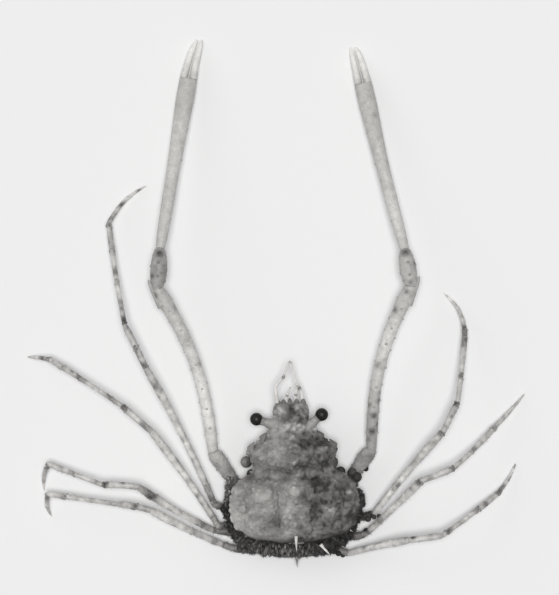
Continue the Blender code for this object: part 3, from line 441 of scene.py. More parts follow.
def edge_spots(seed):
    """Places and sizes of the granules along both edges, about 0.4 mm apart."""
    draw = random.Random(seed)
    spots = []
    for number in range(EDGE_GRANULES):
        along = -4.0 + 11.0 * (number + draw.uniform(-0.35, 0.35)) / EDGE_GRANULES
        for side in (1.0, -1.0):
            spots.append((side * float(from_table(SHELL, 1, along)), along, draw.uniform(0.15, 0.27),
                          draw.random()))
    return np.array(spots)


def shell_tone(out, ahead):
    """The broad grey of the back: paler on the left than the right, partly the shell's own stain and partly painted
    light falling from the left, changed by bell-shaped marks.
    """
    # painted light: left half paler, right half darker, as light falling from the left, partly also the shell's stain
    tone = 0.485 - 0.05 * np.tanh(out / 1.0)
    for mark_out, mark_along, reach_out, reach_along, change in SHELL_MARKS:
        far = ((out - mark_out) / reach_out) ** 2 + ((ahead - mark_along) / reach_along) ** 2
        tone = tone + change * np.exp(-far)
    return tone


def carapace():
    """The shield on a grid, each point moved straight out by the clouds and by the domes of the granules near it: a
    dome is as high as (1 - squared share of its radius). Grey is the broad grey of the back, with clouds painted
    paler where they rise and darker where they sink as painted shading, with specks that are stronger on the right,
    partly stain and partly painted shade, and with dark or pale granules on it, the dark ones likelier on the right,
    each ringed at its foot by painted shade."""
    step = np.linspace(0.0, 1.0, 250)
    start, end = SHELL[0, 0], SHELL[-1, 0]
    along = start + (end - start) * (0.72 * step + 0.28 * step ** 2.2)
    turn = np.concatenate((np.linspace(-8.0, 188.0, 300), np.linspace(188.0, 352.0, 50)[1:-1]))
    grid = shell_surface(along[:, None], turn[None, :])
    normal = shell_normal(along[:, None], turn[None, :])
    out, ahead = grid[..., 0], grid[..., 1]
    right = 0.5 + 0.5 * np.tanh(out / 1.2)
    clouds = bells(grid, along, *CLOUDS, 13)
    # painted shading: grey follows the clouds' relief; the specks, stronger on the right, are partly stain and partly
    # painted shade of the side away from the light
    tone = shell_tone(out, ahead) + 0.028 * clouds + (0.022 + 0.044 * right) * bells(grid, along, *STAIN_AND_SHADE_SPECKS, 17)
    lift = np.zeros(out.shape)
    rows = ((granule_spots(COARSE_GRANULES, 7, 0.15, 0.27, 0.4), 0.55), (edge_spots(3), 0.65),
            (granule_spots(FINE_GRANULES, 5, 0.09, 0.17, 0.35), 0.38))
    for spots, rise in rows:
        places = shell_surface(spots[:, 1], shell_turn(spots[:, 1], spots[:, 0]))
        for (spot_out, spot_along, radius, chance), place in zip(spots, places):
            first, last = np.searchsorted(along, (spot_along - radius * 2, spot_along + radius * 2))
            share = ((grid[first:last] - place) ** 2).sum(axis=-1) / radius ** 2
            dome = np.clip(1.0 - share, 0.0, 1.0)
            lift[first:last] = np.maximum(lift[first:last], rise * radius * dome)
            # dark granules likelier and darker on the right: partly stain, partly painted shade away from the light
            stain_and_shade_right = 0.5 + 0.5 * math.tanh(spot_out / 0.8)
            dark = chance < 0.16 + 0.34 * stain_and_shade_right
            change = -0.03 - 0.07 * stain_and_shade_right if dark else 0.05 if chance > 0.85 else 0.01
            tone[first:last] += change * np.clip(dome * 1.6, 0.0, 1.0)
            # painted shade: a faint dark ring round the foot of each granule
            tone[first:last] -= 0.02 * np.exp(-((share - 1.0) / 0.35) ** 2)
    rim = 1.0 / (1.0 + np.exp((ahead + 4.12) / 0.08))
    return skin(grid + normal * (lift + CLOUD_HEIGHT * clouds)[..., None], tone * (1.0 - 0.4 * rim))


def ball(centre, radius, tone, rows=24, sides=32):
    """A ball from pole to pole, its radius given for each axis or as one number."""
    angle = np.linspace(0.04, math.pi - 0.04, rows)[:, None, None]
    level = circle(np.array((1.0, 0.0, 0.0)), np.array((0.0, 1.0, 0.0)), sides)
    return skin(np.asarray(centre) + (np.sin(angle) * level - np.cos(angle) * UP) * radius, tone)


def shell_spines():
    """The spines of the shield, each on its surface along the normal there and the lean of its row: the long hind
    one thin and pale, the others broad and blunt. Worn white granules and hind spines stand among them."""
    forms = []
    for out, along, lean_out, lean_ahead, radius, length in SHELL_SPINES:
        for side in ((1.0,) if out == 0 else (1.0, -1.0)):
            turn = shell_turn(along, side * out)
            way = shell_normal(along, turn) + (side * lean_out, lean_ahead, 0.0)
            pale, wide, high, taper = (0.28, 0.45, 0.9, 0.8) if length > 1.0 else (0.02, 1.35, 0.85, 0.75)
            forms.append(spine(shell_surface(along, turn), way, radius * wide, length * high,
                               shell_tone(side * out, along) + pale, taper))
    for out, height, radius, length in FRONT_SPINES:
        root = np.array((out, SHELL[-1, 0], height))
        forms.append(spine(root, (0.08 * out, 1.0, 0.0), radius * 1.1, length * 0.72, 0.42, 0.5))
    for out, along, radius in PALE_GRANULES:
        forms.append(ball(shell_surface(along, shell_turn(along, out)), radius, 0.7, 10, 14))
    for root, tip in HIND_SPINES:
        way = np.array(tip) - root
        forms.append(spine(np.array(root), way, 0.15, np.linalg.norm(way), 0.88, 0.7, 12))
    return forms


# Back shell: thick lime-hardened chitin, rough with grains between the granules, blotched with the crab's own stain
back_shell = shell_finish("lime_shell_granulated_back", 0.9, 0.055, 0.14, 0.012, 0.68, SHELL_GREYS)
add_piece("carapace_shield", joined(carapace(), *shell_spines()), back_shell,
          nodes=("carapace",))
knobs = [ball(row[:3], row[3], row[4]) for row in FLANK_KNOBS]
# painted light: the first knob is paler on its left side, where the light falls, and darker on its right
knobs[0] = ball(FLANK_KNOBS[0][:3], FLANK_KNOBS[0][3],
                FLANK_KNOBS[0][4] - 0.12 * np.cos(np.arange(32) * 2 * math.pi / 32))
add_piece("flank_knobs", joined(*knobs), back_shell)

# Mouth limbs
# Two flat jaw-feet close the mouth under the head like doors: smooth thin plates of shell, jointed in the middle,
# hinged to the front of the breast plate.
# place along the axis, inner edge, outer edge, thickness
MOUTH_PLATES = np.array((
    (1.75, 0.16, 1.3, 0.45), (2.2, 0.14, 1.7, 0.6), (3.2, 0.14, 1.62, 0.62), (3.6, 0.2, 1.4, 0.52),
    (3.8, 0.16, 1.78, 0.62), (4.5, 0.16, 1.85, 0.6), (5.05, 0.3, 1.05, 0.45)))
MOUTH_POWER = 3.2


def mouth_limb():
    """An oval of high power between the inner and outer edge, hung under the shield's lower side."""
    along = np.linspace(MOUTH_PLATES[0, 0], MOUTH_PLATES[-1, 0], 120)
    inner, outer, thick = columns(MOUTH_PLATES, (1, 2, 3), along)
    top = shell_surface(along, np.full(along.shape, -90.0))[:, 2] - GAP * 0.6
    wide, deep = oval(np.linspace(0.0, 2 * math.pi, 48, endpoint=False), MOUTH_POWER)
    across = (inner + outer)[:, None] / 2 + (outer - inner)[:, None] / 2 * wide
    height = (top - thick / 2)[:, None] + thick[:, None] / 2 * deep
    return skin(np.stack(np.broadcast_arrays(across, along[:, None], height), axis=-1), 0.6)


for side in ("left", "right"):
    add_piece(f"jaw_foot_{side}", mouth_limb(), belly_shell, side, (f"maxilliped_{side}",))

# Eyes
# Each eye is a black ball of thousands of facets under one clear cornea, on a short pale stalk that grows out of the
# orbit beside the rostrum. The two are carried a little differently.
# root of the stalk and middle of the ball: out, along, height
STALKS = {"left": ((1.75, 5.72, 3.95), (2.93, 6.17, 4.12)), "right": ((1.72, 5.6, 3.95), (2.62, 6.33, 4.18))}
EYE_RADIUS = 0.55
# Stalk skin: soft thin chitin, pale and matt
limb_shell = shell_finish("lime_shell_pale_limb", 0.6, 0.05, 0.09, 0.006, 0.5, SHELL_GREYS)
# Cornea: clear facets over black pigment, satin
FACET_MM, FACET_HEIGHT_MM = 0.05, 0.004
cornea, cornea_tree, cornea_shader = new_material("facetted_cornea_black")
facets = add(cornea_tree, "ShaderNodeTexVoronoi", Scale=1000 / FACET_MM,
             Vector=add(cornea_tree, "ShaderNodeTexCoord").outputs["Object"])
facet_bump = add(cornea_tree, "ShaderNodeBump", {"invert": True}, Height=facets.outputs["Distance"],
                 Strength=0.5, Distance=FACET_HEIGHT_MM * METRES)
cornea_tree.links.new(facet_bump.outputs["Normal"], cornea_shader.inputs["Normal"])
fill(cornea_shader, Base_Color=linear("161514"), Roughness=0.52, IOR=1.38, Coat_Weight=0.1, Coat_Roughness=0.3)


def eyestalk(root, centre):
    """A round stalk whose radius shrinks from the orbit, then widens like a cup round the lower part of the ball."""
    way = unit(centre - root)
    across = unit(np.cross(way, UP))
    over = np.cross(across, way)
    reach = np.linalg.norm(centre - root)
    step = np.linspace(-0.45, 0.86, 40)[:, None, None]
    radius = 0.31 + 0.34 * np.clip(0.5 - step, 0.0, 1.0) + 0.12 * np.clip(step - 0.35, 0.0, 1.0) / 0.5
    return skin(root + way * reach * step + circle(across, over, 28) * radius,
                0.56 - 0.2 * np.clip(step[..., 0] - 0.4, 0.0, 1.0))


for side, rows in STALKS.items():
    root, centre = (np.array(row) for row in rows)
    add_piece(f"eye_stalk_{side}", eyestalk(root, centre), limb_shell, side,
              (f"eyestalk_{side}",))
    add_piece(f"eye_ball_{side}", ball(centre, EYE_RADIUS, 0.1, 40, 48), cornea, side, (f"eye_{side}",))

# Feelers
# Two thin antennae of many small horny rings stand out under the rostrum, pale with a darker bead at some joints, and
# between their roots lie the shorter antennules, bent like a knee.
# points from root to tip (out, along, height), and the radius at each
FEELERS = {
    "left": ((1.12, 7.5, 4.1), (1.1, 8.98, 4.55), (0.5, 9.65, 4.6), (0.2, 10.4, 4.5), (-0.1, 10.98, 4.35)),
    "right": ((1.08, 7.5, 3.45), (0.92, 8.4, 3.5), (0.58, 9.05, 3.6), (0.36, 10.0, 3.65), (0.2, 10.9, 3.6))}
FEELER_RADII = (0.17, 0.13, 0.11, 0.1, 0.07)
ANTENNULES = {
    "left": ((0.3, 7.35, 3.4), (0.34, 7.8, 3.55), (0.1, 8.4, 3.75), (-0.05, 8.75, 3.85)),
    "right": ((0.35, 7.35, 3.4), (0.45, 7.85, 3.55), (0.55, 8.5, 3.75), (0.62, 8.85, 3.85))}
ANTENNULE_RADII = (0.12, 0.11, 0.1, 0.05)


def feeler(points, radii, joints, bead):
    """A round tube along a smooth curve through the points, pinched at each ring, darker and thicker at a bead."""
    run = run_of(points)
    table = np.column_stack((run / run[-1], points, radii))
    step = np.linspace(0.0, 1.0, 160)
    centre = np.stack(columns(table, (1, 2, 3), step), axis=-1)
    way = unit(np.gradient(centre, axis=0))
    across = unit(np.cross(way, UP))
    over = np.cross(across, way)
    pinch = 1.0 - 0.14 * np.exp(-((np.mod(step * joints, 1.0) - 0.5) / 0.1) ** 2)
    swell = 1.0 + 0.35 * np.exp(-((step - bead) / 0.035) ** 2)
    radius = (from_table(table, 4, step) * pinch * swell)[:, None, None]
    tone = 0.84 - 0.34 * np.exp(-((step - bead) / 0.05) ** 2) - 0.26 * np.clip((step - 0.93) / 0.05, 0, 1)
    return skin(centre[:, None] + circle(across[:, None], over[:, None], 16) * radius, tone[:, None])


for side in ("left", "right"):
    bead = 0.62 if side == "left" else 0.34
    forms = (feeler(FEELERS[side], FEELER_RADII, 26, bead), feeler(ANTENNULES[side], ANTENNULE_RADII, 9, 0.5))
    add_piece(f"feelers_{side}", joined(*forms), limb_shell, side, (f"antenna_{side}",))

# Claw arms
# Each arm is six tubes of pale shell hinged end to end: coxa, ischium, long merus with rows of small thorns, wrist,
# and a long smooth palm that ends in one fixed and one moving finger. Soft skin closes each joint.
# length, heading outward from straight ahead, rise and bow towards the midline of each piece
ARM_POSE = {
    "left": ((1.29, 22, 17, 0.0), (2.8, 32, 15, 0.0), (14.79, 16.3, 8.1, 0.97), (3.36, -6.3, -1.7, 0.0),
             (15.01, -11.6, -11.9, -0.02), (3.8, -18, None, 0.0)),
    "right": ((1.17, 17, 18.5, 0.0), (2.65, 37, 15, 0.0), (14.4, 15.9, 8.4, 0.95), (3.1, -7, -2, 0.0),
              (14.9, -11.4, -12.0, 0.1), (3.58, -12.8, None, 0.0))}
# share along the piece, half width, half height
ARM_SIZES = {
    "coxa": ((0.0, 0.52, 0.46), (0.5, 0.56, 0.5), (1.0, 0.5, 0.48)),
    "ischium": ((0.0, 0.5, 0.48), (0.35, 0.58, 0.5), (0.8, 0.62, 0.52), (1.0, 0.5, 0.46)),
    "merus": ((0.0, 0.42, 0.42), (0.06, 0.46, 0.45), (0.4, 0.48, 0.48), (0.8, 0.54, 0.54), (0.95, 0.6, 0.58),
              (1.0, 0.5, 0.5)),
    "wrist": ((0.0, 0.48, 0.46), (0.25, 0.66, 0.58), (0.65, 0.68, 0.58), (1.0, 0.46, 0.46)),
    "palm": ((0.0, 0.38, 0.34), (0.06, 0.44, 0.44), (0.25, 0.52, 0.5), (0.5, 0.56, 0.54), (0.7, 0.66, 0.58),
             (0.9, 0.76, 0.6), (1.0, 0.74, 0.56))}
# share along the finger, outer edge, inner edge, half height
FIXED_FINGER = np.array(((0.0, 0.735, 0.06, 0.56), (0.3, 0.66, 0.06, 0.42), (0.6, 0.6, 0.06, 0.34),
                         (0.85, 0.48, 0.06, 0.24), (0.97, 0.32, 0.09, 0.12)))
MOVING_FINGER = np.array(((0.0, 0.735, 0.06, 0.55), (0.1, 0.71, 0.06, 0.51), (0.32, 0.65, 0.06, 0.42),
                          (0.6, 0.58, 0.06, 0.34), (0.85, 0.46, 0.06, 0.24), (1.0, 0.26, 0.1, 0.1)))
HIP_HEIGHT = 1.42
TIP_HEIGHT, CLAW_TIP_HEIGHT = 0.07, 0.13
# lobe of the merus that stands out beside the wrist: share along it, angle round it, radius, length, heading outward
MERUS_LOBE = (0.93, 10.0, 0.36, 2.1, 25.0)
# radius of the grains of each piece
ARM_GRAINS = {"coxa": 0.1, "ischium": 0.12, "merus": 0.1, "wrist": 0.11, "palm": 0.05}
# thorn rows of a piece: angle round it and how many; then their root radius
ARM_THORNS = {"ischium": (((15.0, 3), (165.0, 3)), 0.11), "merus": (((8.0, 9), (90.0, 7), (172.0, 9)), 0.12),
              "wrist": (((20.0, 3), (90.0, 2), (160.0, 3)), 0.12), "palm": (((172.0, 5),), 0.09)}
# greys of each piece, evenly spaced from its root to its tip
ARM_GREYS = {
    "left": {"coxa": (0.24, 0.34, 0.46), "ischium": (0.56, 0.63, 0.66, 0.68),
             "merus": (0.76, 0.84, 0.85, 0.82, 0.78, 0.74, 0.69), "wrist": (0.6, 0.58, 0.57, 0.6, 0.62),
             "palm": (0.72, 0.74, 0.75, 0.75, 0.75, 0.76, 0.76, 0.76, 0.765, 0.7, 0.7, 0.705)},
    "right": {"coxa": (0.24, 0.3, 0.42), "ischium": (0.5, 0.56, 0.58, 0.6),
              "merus": (0.6, 0.64, 0.68, 0.76, 0.82, 0.81, 0.76, 0.7), "wrist": (0.66, 0.69, 0.69, 0.69, 0.66),
              "palm": (0.72, 0.77, 0.8, 0.79, 0.76, 0.75, 0.74, 0.73, 0.72, 0.7, 0.7, 0.71)}}
FINGER_GREYS = (0.77, 0.85, 0.88, 0.9, 0.92)
# dark spots of each arm: piece, share along it, angle round it, reach in mm, depth of the grey
ARM_SPOTS = {
    "left": (("ischium", 0.3, 120, 0.5, 0.1), ("ischium", 0.62, 40, 0.35, 0.1), ("merus", 0.51, 150, 0.28, 0.3),
             ("merus", 0.67, 100, 0.45, 0.12), ("merus", 0.86, 150, 0.35, 0.14),
             ("merus", 0.975, 30, 0.26, 0.34),
             ("wrist", 0.45, 170, 0.7, 0.06), ("wrist", 0.88, 90, 0.3, 0.4), ("wrist", 0.3, 40, 0.22, 0.2)),
    "right": (("ischium", 0.8, 60, 0.5, 0.1), ("merus", 0.11, 90, 0.26, 0.4), ("merus", 0.2, 80, 0.26, 0.38),
              ("merus", 0.15, 30, 0.2, 0.2), ("merus", 0.26, 140, 0.2, 0.2), ("merus", 0.06, 120, 0.22, 0.16),
              ("merus", 0.29, 30, 0.25, 0.22), ("merus", 0.34, 30, 0.22, 0.18), ("merus", 0.5, 120, 0.3, 0.24),
              ("merus", 0.84, 130, 0.34, 0.3), ("merus", 0.965, 100, 0.22, 0.28),
              ("wrist", 0.11, 90, 0.22, 0.2),
              ("wrist", 0.5, 40, 0.6, 0.06), ("wrist", 0.93, 90, 0.34, 0.34), ("wrist", 0.6, 20, 0.2, 0.2),
              ("palm", 0.8, 60, 0.24, 0.14), ("palm", 0.52, 30, 0.2, 0.08))}
JOINT_SEAM = 0.06
GRAINS_PER_MM, BLOTS_PER_MM = 14, 9
FINGER_STEPS = 60


def direction(heading, rise):
    """The unit vector with that heading outward from straight ahead and that rise over level, both in degrees."""
    heading, rise = math.radians(heading), math.radians(rise)
    return np.array((math.sin(heading) * math.cos(rise), math.cos(heading) * math.cos(rise), math.sin(rise)))


def joints_of(hip, pose, tip_height):
    """Joint places from the hip outward, and the bow of each piece. A last piece of no rise comes down to a tip
    height over the floor."""
    places, bows = [np.array((hip[0], hip[1], HIP_HEIGHT))], []
    for length, heading, rise, bow in pose:
        if rise is None:
            rise = math.degrees(math.asin((tip_height - places[-1][2]) / length))
        places.append(places[-1] + direction(heading, rise) * length)
        bows.append(direction(heading - 90.0, 0.0) * bow)
    return places, bows


def tube_frame(start, end, bow, step):
    """Middle line of a limb piece, a straight line bowed like half a sine wave, and its ways along, across and
    over."""
    step = np.asarray(step)[..., None]
    centre = start + (end - start) * step + bow * np.sin(math.pi * step)
    along = unit(end - start + bow * math.pi * np.cos(math.pi * step))
    across = unit(np.cross(along, UP))
    return centre, along, across, np.cross(across, along)


def rim(across, over, half_width, half_height, angle):
    """From the middle line to the rim of an oval, at an angle in radians from its outer side up to its top."""
    return np.cos(angle) * across * half_width + np.sin(angle) * over * half_height


def tube_point(start, end, bow, sizes, step, angle):
    """A point of a limb piece, at that share along it and angle in degrees round it, and the way out of it there."""
    centre, _along, across, over = tube_frame(start, end, bow, step)
    offset = rim(across, over, *columns(np.array(sizes), (1, 2), step), math.radians(angle))
    return centre + offset, unit(offset)


def limb_piece(start, end, bow, sizes, planes, greys, spots=(), grains=0.0, seed=1, density=9.0, sides=32,
               extra=None, blots=0.5):
    """An oval carried along the middle line, its two ends slid along it onto the planes of the joints, fading inward,
    and rounded at the lips. Small domes of random place and size stand out of it. Its grey runs from root to tip and
    changes at bell-shaped spots, both the given ones and faint random ones."""
    length = np.linalg.norm(end - start)
    count = int(length * density) + 14
    step = (1.0 - np.cos(np.linspace(0.0, math.pi, count))) / 2 * 0.35 + np.linspace(0.0, 1.0, count) * 0.65
    centre, along, across, over = tube_frame(start, end, bow, step)
    half_width, half_height = (half[:, None, None] for half in columns(np.array(sizes), (1, 2), step))
    lip = np.minimum(step, 1.0 - step) * length
    draw_in = 1.0 - 0.1 * np.clip(1.0 - lip / 0.09, 0.0, 1.0) ** 2
    angle = np.linspace(0.0, 2 * math.pi, sides, endpoint=False)[None, :, None]
    way = rim(across[:, None], over[:, None], half_width, half_height, angle)
    rings = centre[:, None] + way * draw_in[:, None, None]
    for (point, normal), at, near in zip(planes, (0, -1), (step, 1.0 - step)):
        slide = ((point - rings[at]) @ normal) / (along[at] @ normal)
        fade = np.clip(1.0 - near * length / 1.2, 0.0, 1.0) ** 1.5
        rings = rings + fade[:, None, None] * slide[None, :, None] * along[at]
    tone = np.interp(step, np.linspace(0.0, 1.0, len(greys)), greys)[:, None] * np.ones((1, sides))
    normal = unit(way)
    if grains:
        draw = np.random.default_rng(seed)
        amount = int(length * GRAINS_PER_MM)
        lift = np.zeros(rings.shape[:2])
        shares, turns = draw.uniform(0.03, 0.97, amount), draw.uniform(0, 360, amount)
        for share, turn, radius in zip(shares, turns, draw.uniform(0.6, 1.3, amount) * grains):
            spot, _out = tube_point(start, end, bow, sizes, share, turn)
            far = ((rings - spot) ** 2).sum(axis=-1) / radius ** 2
            lift = np.maximum(lift, 0.5 * radius * np.clip(1.0 - far, 0.0, 1.0))
        rings = rings + normal * lift[..., None]
        tone = tone - 0.5 * lift
    draw = np.random.default_rng(seed + 400)
    blotted = [(draw.uniform(0.0, 1.0), draw.uniform(-20, 200), draw.uniform(0.08, 0.3),
                blots * draw.uniform(-0.03, 0.1)) for _blot in range(int(length * BLOTS_PER_MM * blots) + 1)]
    for share, turn, reach, depth in list(spots) + blotted:
        spot, _out = tube_point(start, end, bow, sizes, share, turn)
        tone = tone - depth * np.exp(-((rings - spot) ** 2).sum(axis=-1) / reach ** 2)
    if extra is not None:
        rings, tone = np.concatenate((rings, extra[0])), np.concatenate((tone, extra[1]))
    return skin(rings, tone)


def limb_planes(places, bows, facing):
    """The two end planes of each piece, half a seam from the joint, square to the middle of the two ways there."""
    wall = direction(facing, 0.0)
    ways = [(tube_frame(start, end, bow, 0.0)[1], tube_frame(start, end, bow, 1.0)[1])
            for start, end, bow in zip(places, places[1:], bows)]
    planes, first = [], (places[0], wall)
    for number, (_begin, finish) in enumerate(ways):
        if number + 1 < len(ways):
            normal = unit(finish + ways[number + 1][0])
            planes.append((first, (places[number + 1] - normal * JOINT_SEAM / 2, normal)))
            first = (places[number + 1] + normal * JOINT_SEAM / 2, normal)
        else:
            planes.append((first, (places[number + 1], finish)))
    return planes


def finger(knuckle, tip, frame_of_palm, rows, edge):
    """Ovals between the outer and inner edge of a finger along a curve that leaves the palm straight and bends to the
    tip. Small teeth are waves of the inner edge. Edge is 1 for the outer finger and -1 for the inner one."""
    _centre, start_way, across, over = frame_of_palm
    reach = np.linalg.norm(tip - knuckle)
    step = np.linspace(rows[0, 0], rows[-1, 0], FINGER_STEPS)
    outer, inner, half_height = columns(rows, (1, 2, 3), step)
    s = step[:, None]
    centre = (knuckle + start_way * reach * s) * (1 - s) + (knuckle + (tip - knuckle) * s) * s
    angle = np.linspace(0.0, 2 * math.pi, 32, endpoint=False)
    wave = 0.03 * np.clip(np.sin(step * 60.0), 0.0, 1.0)[:, None] * np.clip(-np.cos(angle) - 0.5, 0, 1)[None]
    middle = centre + across * (edge * (outer + inner) / 2)[:, None]
    half = (outer - inner)[:, None] / 2 * np.cos(angle) - wave
    return middle[:, None] + across * half[..., None] + over * (half_height[:, None] * np.sin(angle))[..., None]


# Arm shell: pale lime-hardened chitin, finely grained and satin
arm_shell = shell_finish("lime_shell_grained_claw_arm", 0.5, 0.045, 0.12, 0.01, 0.5, SHELL_GREYS)
# Joint skin: soft unhardened chitin, smooth and a little darker than the shell, folded in under its rims
joint_skin = shell_finish("soft_chitin_joint_skin", 0.4, 0.04, 0.08, 0.002, 0.4, SHELL_GREYS)


def hip_ball(number, place, radius, tone):
    """The ball in the gap between the breast plate and the first piece of a limb."""
    return ball(place - direction(HIPS[number][2], 0) * GAP / 2, radius, tone, 12, 16)


def joint_balls(places, sizes, tones):
    """A ball in each joint between two pieces, a little thinner than the thinner of them."""
    pairs = zip(places[1:], sizes, sizes[1:], tones)
    return [ball(place, 0.95 * min(before[-1][1], after[0][1]), tone, 14, 20)
            for place, before, after, tone in pairs]


shade = np.interp(np.linspace(0.0, 1.0, FINGER_STEPS), np.linspace(0.0, 1.0, len(FINGER_GREYS)),
                  FINGER_GREYS)[:, None]
for side, pose in ARM_POSE.items():
    places, bows = joints_of(HIPS[1], pose, CLAW_TIP_HEIGHT)
    planes = limb_planes(places[:6], bows[:5], HIPS[1][2])
    greys = ARM_GREYS[side]
    for number, (name, sizes) in enumerate(ARM_SIZES.items()):
        start, end, bow = places[number], places[number + 1], bows[number]
        spots = [row[1:] for row in ARM_SPOTS[side] if row[0] == name]
        extra = None
        if name == "palm":
            palm_frame = tube_frame(start, end, bow, 1.0)
            fixed = finger(places[5], places[6], palm_frame, FIXED_FINGER, 1.0)
            extra = (fixed, shade * np.ones((1, 32)))
        forms = [limb_piece(start, end, bow, sizes, planes[number], greys[name], spots, ARM_GRAINS[name],
                            21 + number, extra=extra)]
        if name in ARM_THORNS:
            rows, radius = ARM_THORNS[name]
            draw = random.Random(11 + number)
            for angle, count in rows:
                for place in range(count):
                    share = 0.06 + 0.88 * (place + 0.5 + draw.uniform(-0.2, 0.2)) / count
                    root, way = tube_point(start, end, bow, sizes, share, angle + draw.uniform(-12.0, 12.0))
                    size = radius * draw.uniform(0.8, 1.25)
                    forms.append(spine(root, way, size, size * 0.9, np.mean(greys[name]) - 0.06, 0.6, 8))
        if name == "merus":
            share, angle, radius, length, heading = MERUS_LOBE
            root, way = tube_point(start, end, bow, sizes, share, angle)
            forms.append(spine(root - way * 0.2, direction(heading, 1.0), radius, length,
                               greys[name][-1] - 0.04, 0.45, 16))
        if name == "ischium" and side == "right":
            root, way = tube_point(start, end, bow, sizes, 0.35, 0.0)
            forms.append(ball(root + way * 0.02, 0.24, 0.08, 12, 16))
        add_piece(f"arm_{name}_{side}", joined(*forms), arm_shell, side, (f"claw_{name}_{side}",))
    knuckle = places[5] + palm_frame[1] * JOINT_SEAM
    form = skin(finger(knuckle, places[6], palm_frame, MOVING_FINGER, -1.0), shade)
    add_piece(f"arm_finger_{side}", form, arm_shell, side, (f"claw_finger_{side}",))
    joints = [hip_ball(1, places[0], 0.42, 0.3)]
    joints += joint_balls(places, list(ARM_SIZES.values()), (0.46, 0.6, 0.58, 0.56))
    finger_root = places[5] - palm_frame[2] * 0.38 + palm_frame[1] * 0.02
    joints.append(ball(finger_root, (0.28, 0.2, 0.42), 0.66, 14, 20))
    add_piece(f"arm_joint_skins_{side}", joined(*joints), joint_skin, side)

# Walking legs
# Seven thin legs of pale shell are left of eight, each of a hip piece, merus, carpus, propodus and a curved dactyl
# that ends in a horny point on the floor. They are smooth, sparsely haired, with dark stains at joints.
# length, heading outward from straight ahead, rise and bow towards the midline of each piece
LEG_POSE = {
    ("left", 2): ((2.18, 84, 17.4, -0.2), (13.36, 23.9, 13.5, 0.22), (4.05, 24, -3, 0.0),
                  (9.41, 7.2, -20.5, -0.1), (4.85, -47, None, -0.38)),
    ("left", 3): ((2.11, 99.6, 24.4, -0.1), (10.25, 32.5, 14.9, 0.15), (3.31, 47, -3, 0.0),
                  (7.34, 55, -10, 0.05), (4.0, 82, None, 0.05)),
    ("left", 4): ((2.94, 79.8, -1.5, 0.0), (7.99, 56.7, 23.3, -0.15), (3.04, 84, -2, 0.07),
                  (5.16, 67.2, -15.9, -0.02), (3.74, 166, None, 0.2)),
    ("left", 5): ((3.54, 84.9, 7.3, -0.35), (7.15, 61.4, 18.9, -0.1), (2.83, 77, -2, 0.08),
                  (6.15, 79.8, -12, 0.0), (3.39, 183.5, None, 0.25)),
    ("right", 3): ((2.19, 85, 18.3, -0.15), (9.72, 41.8, 20, 0.1), (2.78, 29, -8, 0.0),
                   (6.79, 9.3, -27, -0.07), (4.15, -26.2, None, -0.4)),
    ("right", 4): ((2.2, 91.4, 14.9, -0.45), (6.8, 47.4, 25.4, -0.03), (3.0, 71, -4, -0.06),
                   (5.8, 48.9, -31, -0.1), (4.1, 45.3, None, -0.06)),
    ("right", 5): ((1.87, 119.8, 14.5, -0.1), (5.95, 78.8, 27, 0.06), (2.84, 84.7, -2, -0.03),
                   (6.44, 57, -26.6, -0.05), (3.48, 35.3, None, -0.15))}
LEG_SIZES = {
    "base": ((0.0, 0.44, 0.42), (0.35, 0.38, 0.36), (0.75, 0.29, 0.29), (1.0, 0.27, 0.27)),
    "merus": ((0.0, 0.26, 0.26), (0.08, 0.27, 0.28), (0.5, 0.28, 0.29), (0.88, 0.33, 0.33), (1.0, 0.28, 0.28)),
    "carpus": ((0.0, 0.26, 0.26), (0.5, 0.27, 0.27), (0.85, 0.28, 0.28), (1.0, 0.23, 0.23)),
    "propodus": ((0.0, 0.21, 0.21), (0.5, 0.2, 0.21), (0.85, 0.24, 0.23), (1.0, 0.21, 0.21)),
    "dactyl": ((0.0, 0.2, 0.2), (0.2, 0.18, 0.18), (0.6, 0.14, 0.14), (0.88, 0.09, 0.09), (1.0, 0.04, 0.05))}
LEG_GREYS = {"base": (0.2, 0.34, 0.46, 0.58), "merus": (0.74, 0.83, 0.85, 0.83, 0.76),
             "carpus": (0.72, 0.79, 0.72),
             "propodus": (0.74, 0.81, 0.83, 0.77), "dactyl": (0.7, 0.8, 0.88, 0.92)}
